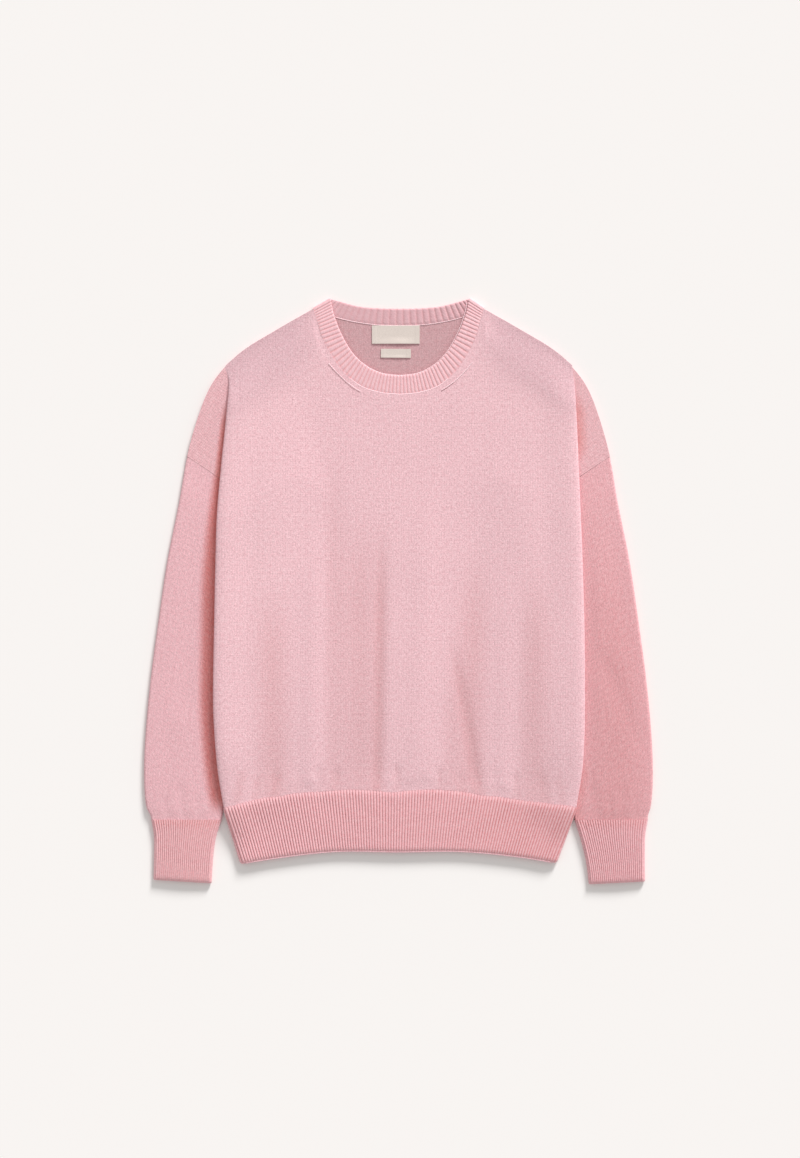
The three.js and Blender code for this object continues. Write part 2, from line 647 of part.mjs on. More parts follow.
// Neckband: a ribbed strip round the neck that is folded flat at its two corners. Its outside
// faces up on the front half and its inside on the back half.
function neckbandGeometry() {
  const path = [];
  const addHalf = (table, ribs, level, faceUp, leftToRight) => {
    for (let k = 0; k <= 2 * ribs; k += 1) {
      const place = (k / ribs - 1) * (leftToRight ? 1 : -1);
      path.push({ table, place, level: level(Math.abs(place)), faceUp, raised: k % 2 });
    }
  };
  const addTurn = (side, from, to) => {
    for (let k = 1; k < NECK_TURN_STEPS; k += 1) {
      path.push({ table: NECK_FRONT, place: side, from, to, angle: (Math.PI * k) / NECK_TURN_STEPS });
    }
  };
  const cornerLevel = FLAP_LEVEL + 0.2;
  const frontBand = (size) => mix(NECK_LEVEL, cornerLevel, ease(size, 0.7, 1));
  addHalf(NECK_FRONT, NECK_FRONT_RIBS, frontBand, 1, true);
  addTurn(1, cornerLevel, FLOOR_LEVEL);
  addHalf(NECK_BACK, NECK_BACK_RIBS, () => FLOOR_LEVEL, -1, false);
  addTurn(-1, FLOOR_LEVEL, cornerLevel);
  const foldLine = NECK_FRONT[NECK_FRONT.length - 1];
  const outward = new THREE.Vector2(foldLine.freeY - foldLine.seamY, foldLine.seamX - foldLine.freeX);
  outward.normalize();
  const grid = [];
  for (let row = 0; row < NECK_ROWS; row += 1) {
    const t = row / (NECK_ROWS - 1);
    grid.push(path.map((step) => {
      const side = step.place < 0 ? -1 : 1;
      const size = Math.abs(step.place);
      const x = mix(along(step.table, 'freeX', size), along(step.table, 'seamX', size), t);
      const y = mix(along(step.table, 'freeY', size), along(step.table, 'seamY', size), t);
      if (step.angle === undefined) {
        return new THREE.Vector3(NECK_X * (1 - t * size) + side * x, y, step.level);
      }
      const radius = Math.abs(step.from - step.to) / 2;
      const bulge = radius * Math.sin(step.angle);
      const z = mix(step.from, step.to, (1 - Math.cos(step.angle)) / 2);
      const cornerX = NECK_X * (1 - t) + side * (x + bulge * outward.x);
      return new THREE.Vector3(cornerX, y + bulge * outward.y, z);
    }));
  }
  return wallGeometry(grid, true, (i, j, face) => {
    const step = path[j];
    return step.raised && face === -step.faceUp ? RIB_HEIGHT : 0;
  });
}

function labelGeometry(label) {
  const shape = new THREE.Shape();
  const halfWidth = label.width / 2;
  const halfHeight = label.height / 2;
  shape.moveTo(-halfWidth, -halfHeight);
  shape.lineTo(halfWidth, -halfHeight);
  shape.lineTo(halfWidth, halfHeight);
  shape.lineTo(-halfWidth, halfHeight);
  return new THREE.ExtrudeGeometry(shape, { depth: LABEL_THICKNESS, bevelEnabled: false });
}

const sweater = new THREE.Group();

function add(name, geometry, colour) {
  const mesh = new THREE.Mesh(geometry, material(colour));
  mesh.name = name;
  sweater.add(mesh);
  return mesh;
}

add('front_panel', frontGeometry(), KNIT);
add('back_panel', backGeometry(), KNIT);
add('front_hem_rib', frontHemGeometry(), RIB);
add('back_hem_rib', backHemGeometry(), RIB);
add('neckband', neckbandGeometry(), BAND);
for (const arm of ARMS) {
  const side = arm.side < 0 ? 'left' : 'right';
  add(`${side}_sleeve`, sleeveGeometry(arm), KNIT);
  add(`${side}_cuff`, cuffGeometry(arm), RIB);
}
for (const label of LABELS) {
  const mesh = add(label.name, labelGeometry(label), LABEL);
  mesh.position.set(label.x, label.y, CLOTH + LABEL_GAP);
  mesh.rotation.z = label.turn;
}

export default sweater;
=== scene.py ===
# %% [markdown]
# # A crewneck sweater in fine pink knit, laid flat
#
# The garment lies face up on a pale surface, with its sleeves folded down beside the body. Every
# knitted piece is a wall about two millimetres thick. Its middle surface is worked out first, as a
# grid of points, and the two faces are then moved out along the normals. The stitches are too small
# and too many to model one by one, so they are bump on the piece's own UV map, which is laid out in
# metres of cloth. The ribs are wide enough to be real ridges in the mesh.

import bpy
import numpy as np
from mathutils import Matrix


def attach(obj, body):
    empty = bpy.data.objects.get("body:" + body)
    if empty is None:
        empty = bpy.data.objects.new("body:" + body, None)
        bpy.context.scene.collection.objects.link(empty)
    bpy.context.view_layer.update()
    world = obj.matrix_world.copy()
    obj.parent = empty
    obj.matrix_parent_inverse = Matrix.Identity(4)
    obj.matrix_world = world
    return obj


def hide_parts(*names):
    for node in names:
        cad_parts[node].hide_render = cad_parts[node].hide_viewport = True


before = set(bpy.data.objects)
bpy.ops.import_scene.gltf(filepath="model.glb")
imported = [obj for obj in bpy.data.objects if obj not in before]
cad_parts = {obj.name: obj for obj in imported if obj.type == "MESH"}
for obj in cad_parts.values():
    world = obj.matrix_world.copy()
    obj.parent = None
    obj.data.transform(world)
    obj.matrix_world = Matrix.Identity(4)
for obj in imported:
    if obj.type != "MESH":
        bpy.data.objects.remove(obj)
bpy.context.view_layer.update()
print("CAD nodes:", sorted(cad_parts))

# %% [markdown]
# ## Sizes
#
# The sizes are in millimetres, with +X to the right, +Y towards the neck and +Z up from the surface.
# Most outlines are short tables: a row is a place where the outline was measured, and a smooth curve
# runs through the rows. A designer would call such a table a measurement chart.

# %% Driving sizes
MM = 0.001
CLOTH = 2.0
SEAM_GAP = 0.05

FLOOR_LEVEL = CLOTH / 2
FLAP_LEVEL = 3.4
UNDER_LEVEL = 7.0
HEM_UNDER_LEVEL = 6.3
FRONT_LEVEL = 5.4
HEM_LEVEL = 5.0
NECK_LEVEL = 4.7
FOLD_LEVEL = 12.0

NECK_X = 1.5
UNDERARM = (140.0, 88.0)
ARMHOLE_TIP = (243.2, 157.0)
CREASE_TOP = (200.0, 259.0)
NECK_CORNER = (98.0, 327.0)
FOLD_TOP = 262.0
FOLD_BOTTOM = -246.0
SIDE_SEAM_BOTTOM = 186.0
CUFF_TOP = -261.0
FOLD_INSET = 10.0
CREASE_INSET = 24.0
SHOULDER_LEAN = 9.0
FOLD_OPENS = 0.72
RIB_PITCH = 3.4
RIB_LINES = 8

# %% Outline of the garment, of its side folds and of the hem
OUTLINE = {
    "y": [327, 302.5, 279.5, 256.5, 233.5, 199, 157, 107, 38, -31, -100, -169, -215, -246, -262],
    "half": [98, 140.9, 178.3, 203, 218.5, 231.7, 243.2, 251.9, 265.7, 276, 285.2, 291.5, 292.7,
             290.3, 285.5],
}
SIDE_FOLD = {
    "y": [262, 241, 199, 150, 91, 39, -42, -123, -162, -202, -246],
    "left": [198.5, 194.5, 197.5, 202.5, 207.6, 209.3, 211, 212.2, 210.5, 207, 200],
    "right": [199.5, 201.5, 204, 206, 208.5, 210.5, 212.8, 213.2, 212.8, 210.5, 203.6],
}
HEM = {
    "x": [-205, -140, -71, 0, 71, 140, 205],
    "top": [-248, -233, -227.5, -226.5, -228, -238, -246],
    "bottom": [-316, -305, -297.5, -298, -297.5, -304, -315],
}
HEM_BOTTOM_HALF = 180.0
HEM_WAVES = [
    # place, width, drop
    (-8, 17, 2.6), (96, 13, 1.6), (-62, 14, -0.9), (40, 14, -0.8), (-138, 10, 1.2),
]

# %% Neckband: free edge and seam from the middle to the corner
NECK_FRONT = {
    "free_x": [0, 19, 37, 53.5, 66.5, 75.5, 79.5],
    "free_y": [250.3, 252.5, 260.5, 275.5, 297, 320, 338.5],
    "seam_x": [0, 23.5, 47, 68.5, 86, 93.5, 98],
    "seam_y": [228.3, 230.8, 239.5, 260, 289, 311.5, 327],
}
NECK_BACK = {
    "free_x": [0, 25, 47, 66, 79.5],
    "free_y": [327.3, 327.9, 330, 334.8, 338.5],
    "seam_x": [0, 27, 53, 76, 98],
    "seam_y": [307.8, 308.6, 312.4, 318.3, 327],
}

# %% Helpers for curves and blends


def mix(a, b, t):
    """a at t = 0, b at t = 1, in a straight line."""
    return a + (b - a) * t


def ease(value, start, end):
    """0 before start, 1 after end, and 3t^2 - 2t^3 between them."""
    t = np.clip((value - start) / (end - start), 0, 1)
    return t * t * (3 - 2 * t)


def chart(keys, values, at):
    """Cubic curve through the rows of a chart: a row's slope is that of the line between its two neighbours."""
    keys, values = np.asarray(keys, float), np.asarray(values, float)
    if keys[0] > keys[-1]:
        keys, values = keys[::-1], values[::-1]
    at = np.clip(at, keys[0], keys[-1])
    i = np.clip(np.searchsorted(keys, at, side="left") - 1, 0, len(keys) - 2)
    before, after = np.maximum(np.arange(len(keys)) - 1, 0), np.minimum(np.arange(len(keys)) + 1, len(keys) - 1)
    slope = (values[after] - values[before]) / (keys[after] - keys[before])
    span = keys[i + 1] - keys[i]
    t = (at - keys[i]) / span
    start, end = (1 + 2 * t) * (1 - t) ** 2, t * t * (3 - 2 * t)
    turn = t * (1 - t) * span * ((1 - t) * slope[i] - t * slope[i + 1])
    return start * values[i] + end * values[i + 1] + turn


def along(values, share):
    """The same curve with the rows evenly spaced, at a share of the way from the first to the last."""
    return chart(np.arange(len(values)), values, np.asarray(share) * (len(values) - 1))


def outline_half(y):
    """Half width of the garment at a height."""
    return chart(OUTLINE["y"], OUTLINE["half"], y)


def fold_half(side, y):
    """Distance of a side fold's edge from the middle. side is -1 on the left and 1 on the right."""
    return chart(SIDE_FOLD["y"], SIDE_FOLD["left" if side < 0 else "right"], y)


def hem_y(column, x):
    """An edge of the hem. The body's gathers pull its upper edge up and down a little."""
    y = chart(HEM["x"], HEM[column], x)
    if column == "top":
        for place, width, drop in HEM_WAVES:
            y = y - drop * np.exp(-(((x - place) / width) ** 2))
    return y


def side_seam(y):
    """The side seam is a straight line from the underarm to the hem."""
    share = (UNDERARM[1] - y) / (UNDERARM[1] - FOLD_BOTTOM)
    return mix(UNDERARM[0], SIDE_SEAM_BOTTOM, share)


def points(x, y, z):
    """One array of points from three arrays, which may be single numbers."""
    return np.stack(np.broadcast_arrays(x, y, z), axis=-1).astype(float)


print("half width at the elbow:", round(float(outline_half(-31.0)), 1), "mm")

# %% [markdown]
# ## Walls of cloth
#
# A knitted piece has two faces and an edge. The wall below takes the middle surface as a grid and
# moves it out by half the thickness on each side, along normals found from the grid's own
# differences. Blender's Solidify modifier does the same, but here a face may also be raised on its
# own, which makes ribs on the outside over a plain inside. Near a free edge the two faces come
# together on a quarter circle, so the edge is round, as a knitted edge is.

# %% Make a mesh from a grid


def lengths(grid, axis):
    """Distance walked along the grid's rows or columns, from the first point of each."""
    steps = np.linalg.norm(np.diff(grid, axis=axis), axis=-1)
    start = np.zeros_like(np.take(steps, [0], axis=axis))
    return np.concatenate([start, np.cumsum(steps, axis=axis)], axis=axis)


def normals_of(grid, closed):
    """Cross product of the differences across and down the grid, made one unit long."""
    if closed:
        across = np.roll(grid, -1, axis=1) - np.roll(grid, 1, axis=1)
    else:
        across = np.gradient(grid, axis=1)
    normal = np.cross(across, np.gradient(grid, axis=0))
    return normal / np.maximum(np.linalg.norm(normal, axis=-1, keepdims=True), 1e-9)


def edged(values, closed):
    """Add a line of points just inside each free edge of a grid, so that shading stays even up to the edge."""
    values = np.asarray(values, float)
    for axis in range(1 if closed else 2):
        if values.ndim > axis and values.shape[axis] > 2:
            v = np.moveaxis(values, axis, 0)
            v = np.concatenate([v[:1], mix(v[:1], v[1:2], 0.05), v[1:-1], mix(v[-1:], v[-2:-1], 0.05), v[-1:]])
            values = np.moveaxis(v, 0, axis)
    return values


def new_mesh(name, verts, quads, uv, material, shade_and_grain=None, sharp=0):
    """A mesh object at the origin from points in millimetres, faces and a UV pair for each face corner.

    shade_and_grain is three numbers for each point, which the knit material reads: two amounts of painted
    shade and how plainly wales show. The last `sharp` faces are shaded flat."""
    mesh = bpy.data.meshes.new(name)
    mesh.vertices.add(len(verts))
    mesh.vertices.foreach_set("co", (verts * MM).astype(np.float32).ravel())
    mesh.loops.add(quads.size)
    mesh.loops.foreach_set("vertex_index", quads.astype(np.int32).ravel())
    mesh.polygons.add(len(quads))
    mesh.polygons.foreach_set("loop_start", np.arange(0, quads.size, quads.shape[1], dtype=np.int32))
    mesh.update(calc_edges=True)
    layer = mesh.uv_layers.new(name="UVMap")
    layer.data.foreach_set("uv", uv.astype(np.float32).ravel())
    mesh.polygons.foreach_set("use_smooth", np.arange(len(quads)) < len(quads) - sharp)
    if shade_and_grain is not None:
        mesh.attributes.new("shade_and_grain", "FLOAT_VECTOR", "POINT").data.foreach_set("vector", shade_and_grain.ravel())
    mesh.validate()
    mesh.materials.append(material)
    piece = bpy.data.objects.new(name, mesh)
    bpy.context.scene.collection.objects.link(piece)
    return piece


def cells(at):
    """The four corners of every grid cell, in order round it. at(down, across) gives one corner of all."""
    return np.stack([at(0, 0), at(0, 1), at(1, 1), at(1, 0)], 1)


def outward(verts, quads, uvs):
    """Turn the faces so that the volume inside them is positive, and return it after them."""
    p = verts[quads]
    flow = np.cross(p[:, 1] - p[:, 0], p[:, 2] - p[:, 0]) + np.cross(p[:, 2] - p[:, 0], p[:, 3] - p[:, 0])
    volume = (flow * p.mean(1)).sum() / 6
    if volume < 0:
        quads, uvs = quads[:, ::-1], uvs[:, ::-1]
    return quads, uvs, abs(volume)


def cloth_wall(name, grid, uv, material, closed=False, rise=0.0, fall=0.0, round_edges=(0.0, 0.0), thickness=CLOTH,
               shade_and_grain=None):
    """Two faces moved out from a grid by half the thickness, and edges that join them.

    rise and fall are added on the upper and the lower face. round_edges holds the distances from the
    first and the last row over which both faces come together on a quarter circle. shade_and_grain holds
    three numbers for each grid point: how much deep painted shade, how much grey painted shade, and how
    plainly wales show."""
    grid, uv, rise, fall = (edged(values, closed) for values in (grid, uv, rise, fall))
    shade_and_grain = edged(np.zeros((1, 1, 3)) if shade_and_grain is None else shade_and_grain, closed)
    rows, columns = grid.shape[:2]
    normal = normals_of(grid, closed)
    half = np.full((rows, columns), thickness / 2)
    walked = lengths(grid, 0)
    for inside, reach in ((walked, round_edges[0]), (walked[-1:] - walked, round_edges[1])):
        if reach:
            share = np.clip(1 - inside / reach, 0, 1)
            half = half * np.sqrt(np.maximum(1 - share**2, 0.02))
    upper = grid + normal * (half + rise * (half / (thickness / 2)))[..., None]
    lower = grid - normal * (half + fall)[..., None]
    verts = np.concatenate([upper.reshape(-1, 3), lower.reshape(-1, 3)])
    spans = columns if closed else columns - 1
    i, j = np.meshgrid(np.arange(rows - 1), np.arange(spans), indexing="ij")
    i, j = i.ravel(), j.ravel()
    count = rows * columns
    up = cells(lambda down, across: (i + down) * columns + (j + across) % columns)
    uv_up = cells(lambda down, across: uv[i + down, j + across])
    turned = [0, 3, 2, 1]
    quads, uvs = [up, up[:, turned] + count], [uv_up, uv_up[:, turned]]
    faces = 2 * len(up)
    ii, jj = np.arange(rows - 1), np.arange(spans)
    rims = [((0, jj), (0, jj + 1), 1), ((rows - 1, jj), (rows - 1, jj + 1), -1)]
    if not closed:
        rims += [((ii, 0), (ii + 1, 0), -1), ((ii, columns - 1), (ii + 1, columns - 1), 1)]
    for start, end, order in rims:
        a, b = (row * columns + column % columns for row, column in (start, end))
        quads.append(np.stack([a, a + count, b + count, b], 1)[:, ::order])
        uvs.append(np.stack([uv[start], uv[start], uv[end], uv[end]], 1)[:, ::order])
    quads, uvs, volume = outward(verts, np.concatenate(quads), np.concatenate(uvs))
    marks = np.broadcast_to(shade_and_grain, (rows, columns, 3)).reshape(-1, 3)
    piece = new_mesh(name, verts, quads, uvs, material, np.concatenate([marks, marks]), len(quads) - faces)
    print(f"{name}: {2 * len(quads)} triangles, {volume / 1000:.0f} cm3 of cloth")
    return piece


# %% [markdown]
# ## The knit material
#
# Stockinette is a field of small V shapes: each column of them is a wale, and each row a course. One
# node group makes that height from the UV map, which is in metres, so the stitches have one size on
# every piece. A second group gives the heathered colour: wool dyed before it is spun mixes lighter
# and darker fibres, so the colour changes from stitch to stitch. It also darkens the colour in the dips
# between the stitch legs, as painted shade. Shaders stay in each material.

# %% Small tools for node trees


def socket(tree, name, kind, inward, default=None):
    """Adds one input or output to a node group and gives it a default."""
    item = tree.interface.new_socket(name=name, in_out="INPUT" if inward else "OUTPUT", socket_type=kind)
    if default is not None:
        item.default_value = default
    return item


def maths(tree, operation, *values):
    """One Math node: each value is a number or the output of another node."""
    node = tree.nodes.new("ShaderNodeMath")
    node.operation = operation
    for k, value in enumerate(values):
        if isinstance(value, (int, float)):
            node.inputs[k].default_value = value
        else:
            tree.links.new(value, node.inputs[k])
    return node.outputs[0]


def noise(tree, vector, scale, detail=2.0, rough=0.5):
    """One Noise node, with values round 0.5."""
    node = tree.nodes.new("ShaderNodeTexNoise")
    node.inputs["Scale"].default_value = scale
    node.inputs["Detail"].default_value = detail
    node.inputs["Roughness"].default_value = rough
    tree.links.new(vector, node.inputs["Vector"])
    return node.outputs["Fac"]


def parts(tree, vector):
    """The X, Y and Z outputs of a vector."""
    split = tree.nodes.new("ShaderNodeSeparateXYZ")
    tree.links.new(vector, split.inputs[0])
    return split.outputs


def uv_output(tree):
    """The mesh's own UV map, in metres of cloth."""
    uv = tree.nodes.new("ShaderNodeUVMap")
    uv.uv_map = "UVMap"
    return uv.outputs["UV"]


def bump(tree, shader, height, strength, distance):
    """A Bump node from a height to the shader's normal."""
    node = tree.nodes.new("ShaderNodeBump")
    node.inputs["Strength"].default_value = strength
    node.inputs["Distance"].default_value = distance
    tree.links.new(height, node.inputs["Height"])
    tree.links.new(node.outputs["Normal"], shader.inputs["Normal"])


def new_material(name):
    """A material, its node tree and its Principled BSDF."""
    material = bpy.data.materials.new(name)
    material.use_nodes = True
    return material, material.node_tree, material.node_tree.nodes["Principled BSDF"]


# %% Node group for the stitches


def stitch_group():
    """Height of stockinette: two slanted legs in each wale, cut by the dip between two courses.

    With u across a wale and v along it, in stitches, a = |frac(u) - 1/2| is the distance from the
    middle of the wale. A leg is a ridge at a = 1/4, and its stitch is a hump in frac(v + a). The
    whole wale also rises towards its middle, by cos(2 pi a)."""
    tree = bpy.data.node_groups.new("stitches", "ShaderNodeTree")
    socket(tree, "Vector", "NodeSocketVector", True)
    socket(tree, "Wale", "NodeSocketFloat", True, 0.0017)
    socket(tree, "Course", "NodeSocketFloat", True, 0.0012)
    socket(tree, "Wander", "NodeSocketFloat", True, 0.25)
    socket(tree, "Height", "NodeSocketFloat", False)
    put, take = tree.nodes.new("NodeGroupInput"), tree.nodes.new("NodeGroupOutput")
    place = parts(tree, put.outputs["Vector"])
    wander = noise(tree, put.outputs["Vector"], 420.0, 2.0)
    shift = maths(tree, "MULTIPLY", maths(tree, "SUBTRACT", wander, 0.5), put.outputs["Wander"])
    u = maths(tree, "ADD", maths(tree, "DIVIDE", place["X"], put.outputs["Wale"]), shift)
    v = maths(tree, "ADD", maths(tree, "DIVIDE", place["Y"], put.outputs["Course"]), shift)
    a = maths(tree, "ABSOLUTE", maths(tree, "SUBTRACT", maths(tree, "FRACT", u), 0.5))
    leg = maths(tree, "COSINE", maths(tree, "MULTIPLY", maths(tree, "SUBTRACT", a, 0.25), 4 * np.pi))
    leg = maths(tree, "MULTIPLY_ADD", leg, 0.5, 0.5)
    hump = maths(tree, "SINE", maths(tree, "MULTIPLY", maths(tree, "FRACT", maths(tree, "ADD", v, a)), np.pi))
    hump = maths(tree, "MULTIPLY_ADD", hump, 0.6, 0.4)
    wale = maths(tree, "COSINE", maths(tree, "MULTIPLY", a, 2 * np.pi))
    legs = maths(tree, "MULTIPLY", maths(tree, "MULTIPLY", leg, hump), 0.6)
    tree.links.new(maths(tree, "ADD", legs, maths(tree, "MULTIPLY_ADD", wale, 0.13, 0.13)), take.inputs["Height"])
    return tree


# %% Node group for the heathered colour


def heather_group():
    """Colour of the yarn: a base colour that turns a little lighter, darker and greyer at three scales."""
    tree = bpy.data.node_groups.new("heather", "ShaderNodeTree")
    socket(tree, "Vector", "NodeSocketVector", True)
    socket(tree, "Base", "NodeSocketColor", True, (0.8, 0.5, 0.55, 1))
    socket(tree, "Contrast", "NodeSocketFloat", True, 1.0)
    socket(tree, "Stitch", "NodeSocketFloat", True, 0.5)
    socket(tree, "Colour", "NodeSocketColor", False)
    socket(tree, "Fibre", "NodeSocketFloat", False)
    put, take = tree.nodes.new("NodeGroupInput"), tree.nodes.new("NodeGroupOutput")
    vector = put.outputs["Vector"]
    flecks = maths(tree, "SUBTRACT", noise(tree, vector, 520.0, 3.0, 0.65), 0.5)
    clouds = maths(tree, "SUBTRACT", noise(tree, vector, 240.0, 2.0), 0.5)
    patches = maths(tree, "SUBTRACT", noise(tree, vector, 14.0, 2.0), 0.5)
    # Painted shade: the colour is darker in the dips between the stitch legs.
    stitch_shade = maths(tree, "SUBTRACT", put.outputs["Stitch"], 0.5)
    tone = maths(tree, "MULTIPLY", flecks, 0.8)
    tone = maths(tree, "MULTIPLY_ADD", clouds, 0.14, tone)
    tone = maths(tree, "MULTIPLY_ADD", patches, 0.05, tone)
    tone = maths(tree, "MULTIPLY_ADD", stitch_shade, 0.12, tone)
    value = maths(tree, "MULTIPLY_ADD", tone, put.outputs["Contrast"], 1.0)
    shade = tree.nodes.new("ShaderNodeHueSaturation")
    tree.links.new(put.outputs["Base"], shade.inputs["Color"])
    tree.links.new(value, shade.inputs["Value"])
    grey = maths(tree, "MULTIPLY_ADD", clouds, -0.35, 1.0)
    tree.links.new(grey, shade.inputs["Saturation"])
    tree.links.new(shade.outputs["Color"], take.inputs["Colour"])
    tree.links.new(noise(tree, vector, 2400.0, 2.0, 0.7), take.inputs["Fibre"])
    return tree


STITCHES = stitch_group()
HEATHER = heather_group()

# %% Materials for the knit


def linear(red, green, blue):
    """sRGB numbers from 0 to 255 as a linear colour."""
    c = np.array([red, green, blue]) / 255
    return (*np.where(c <= 0.04045, c / 12.92, ((c + 0.055) / 1.055) ** 2.4), 1.0)


# Painted shade: colours that the knit is multiplied by where it lies in shade.
PAINTED_DEEP_SHADE = (0.82, 0.46, 0.4, 1)
PAINTED_GREY_SHADE = (0.7, 0.71, 0.73, 1)


def knit_material(name, colour, wale=2.9, course=2.1, contrast=1.2, depth=0.35):
    """A matte, slightly fuzzy wool: stitches and fibres as bump, heathered colour, a soft sheen.

    The shade_and_grain attribute holds three numbers from 0 to 1. The first is painted shade: it
    multiplies the colour by PAINTED_DEEP_SHADE, a deeper, redder pink, as light bounced between facing
    pink cloth looks in folds, grooves and beside the side folds. The second is painted shade too: it
    darkens the colour by PAINTED_GREY_SHADE, as a soft shadow does. The third makes the columns of
    stitches straight, so that they show plainly."""
    material, tree, shader = new_material(name)
    shader.inputs["Sheen Weight"].default_value = 0.25
    shader.inputs["Sheen Roughness"].default_value = 0.6
    shader.inputs["Sheen Tint"].default_value = linear(255, 232, 236)
    shader.inputs["Specular IOR Level"].default_value = 0.2
    uv = uv_output(tree)
    stitches, heather = tree.nodes.new("ShaderNodeGroup"), tree.nodes.new("ShaderNodeGroup")
    stitches.node_tree, heather.node_tree = STITCHES, HEATHER
    for node in (stitches, heather):
        tree.links.new(uv, node.inputs["Vector"])
    stitches.inputs["Wale"].default_value = wale * MM
    stitches.inputs["Course"].default_value = course * MM
    attribute = tree.nodes.new("ShaderNodeAttribute")
    attribute.attribute_name = "shade_and_grain"
    shade_and_grain = parts(tree, attribute.outputs["Vector"])
    # Painted shade, deeper and redder, in folds, grooves and beside the side folds.
    deep_shade = tree.nodes.new("ShaderNodeMix")
    deep_shade.data_type = "RGBA"
    deep_shade.inputs["A"].default_value = colour
    deep_shade.inputs["B"].default_value = tuple(np.array(colour) * PAINTED_DEEP_SHADE)
    tree.links.new(shade_and_grain["X"], deep_shade.inputs["Factor"])
    # Painted shade that darkens the colour evenly.
    grey_shade = tree.nodes.new("ShaderNodeMix")
    grey_shade.data_type, grey_shade.blend_type = "RGBA", "MULTIPLY"
    grey_shade.inputs["B"].default_value = PAINTED_GREY_SHADE
    tree.links.new(deep_shade.outputs["Result"], grey_shade.inputs["A"])
    tree.links.new(shade_and_grain["Y"], grey_shade.inputs["Factor"])
    tree.links.new(grey_shade.outputs["Result"], heather.inputs["Base"])
    wander = maths(tree, "MULTIPLY_ADD", shade_and_grain["Z"], -1.1, 1.3)
    tree.links.new(wander, stitches.inputs["Wander"])
    heather.inputs["Contrast"].default_value = contrast
    tree.links.new(stitches.outputs["Height"], heather.inputs["Stitch"])
    tree.links.new(heather.outputs["Colour"], shader.inputs["Base Color"])
    height = maths(tree, "MULTIPLY_ADD", heather.outputs["Fibre"], 0.5, stitches.outputs["Height"])
    bump(tree, shader, height, 0.6, depth * MM)
    rough = maths(tree, "MULTIPLY_ADD", heather.outputs["Fibre"], 0.15, 0.82)
    tree.links.new(rough, shader.inputs["Roughness"])
    return material


KNIT = knit_material("pink_knit", linear(239, 194, 200))
# The right sleeve and cuff are darker copies of the same yarn: painted shade.
SLEEVE = {
    "left": knit_material("pink_sleeve_left", linear(235, 184, 190)),
    "right": knit_material("pink_sleeve_right_shaded", linear(232, 175, 180)),
}
# The back is darker than the front: partly the purl side of the knit, partly painted shade inside the neck opening.
INSIDE_SHADED = knit_material("pink_knit_inside_shaded", linear(207, 162, 166), contrast=1.1)
# The rib colours are a little darker than the knit: partly the rib yarn's own tone, partly painted shade of the
# grooves.
RIB = knit_material("pink_rib", linear(234, 181, 186), wale=RIB_PITCH, contrast=0.8, depth=0.2)
CUFF = {
    "left": knit_material("pink_cuff_left", linear(232, 180, 184), wale=RIB_PITCH, contrast=0.8, depth=0.2),
    "right": knit_material("pink_cuff_right_shaded", linear(231, 177, 182), wale=RIB_PITCH, contrast=0.8, depth=0.2),
}
BAND = knit_material("pink_neckband", linear(240, 194, 200), wale=4.4, contrast=0.6, depth=0.2)

# %% [markdown]
# ## The front
#
# The front is the largest piece. In the middle it lies on the back. At each side it turns over the
# sleeve in a soft fold, runs back under itself and drops to the side seam on the surface. Above the
# underarm it turns out once more, and this flap is the dropped shoulder that ends at the armhole
# seam. All of that is one grid: a row runs from one seam across the fold, the chest and the other
# fold to the other seam. The round turns are parabolas between the middles of the legs of a polygon.

# %% Folds of the front
FRONT_FOLDS = np.array([
    # x_top, y_top, x_bottom, y_bottom, reach, depth
    (-19, 70, -25, -225, 7, 1.2),
    (-44, 90, -46, -225, 20, 0.8),
    (88, 40, 80, -228, 17, 0.9),
    (62, -55, 92, -228, 7, 0.95),
    (-74, 165, -76, -225, 13, 0.5),
    (-146, 0, -144, -232, 17, 0.9),
    (157, 20, 155, -235, 17, 0.8),
    (60, -90, 58, -228, 9, 0.4),
    (34, 130, 22, -200, 15, -1.0),
    (-98, 90, -101, -210, 11, -0.8),
    (127, 40, 120, -210, 11, -0.8),
])
HEM_GATHERS = np.array([
    # x_top, y_top, x_bottom, y_bottom, reach, depth
    (-178, -200, -186, -240, 6, 1.2),
    (-160, -206, -166, -237, 5, 0.9),
    (-139, -203, -142, -232, 5, 0.9),
    (-112, -200, -116, -230, 6, 0.6),
    (-92, -198, -93, -228, 5, 0.8),
    (-70, -202, -73, -226, 5, 0.7),
    (-2, -196, -1, -226, 5, 0.9),
    (24, -205, 26, -227, 6, 0.5),
    (46, -200, 48, -227, 5, 0.8),
    (70, -206, 72, -228, 5, 0.5),
    (112, -203, 111, -233, 5, 0.6),
    (134, -205, 136, -237, 5, 0.7),
    (165, -203, 170, -240, 6, 0.9),
    (184, -206, 189, -244, 5, 0.9),
])


def fold_depth(folds, x, y):
    """Sum of soft troughs: exp(-(distance / reach)^2) across a line, faded in and out along it."""
    total = np.zeros(np.broadcast(x, y).shape)
    for x_top, y_top, x_bottom, y_bottom, reach, depth in folds:
        share = (y_top - y) / (y_top - y_bottom)
        strength = ease(share, -0.1, 0.35) * (1 - ease(share, 0.98, 1.15))
        across = (x - mix(x_top, x_bottom, share)) / reach
        total += depth * strength * np.exp(-across * across)
    return total


def ripple(x, y, seed=0.0):
    """Slow unevenness of cloth that lies loose: three crossed waves, under 0.4 mm in all."""
    wave = np.sin(x / 23 + 1.3 * np.sin(y / 61 + seed) + seed) * 0.1
    wave += np.sin(x / 41 - y / 97 + 2.1 + seed) * 0.16
    return wave + np.sin(y / 37 + x / 150 + 0.7 * seed) * 0.12


# %% Round turns along a polygon


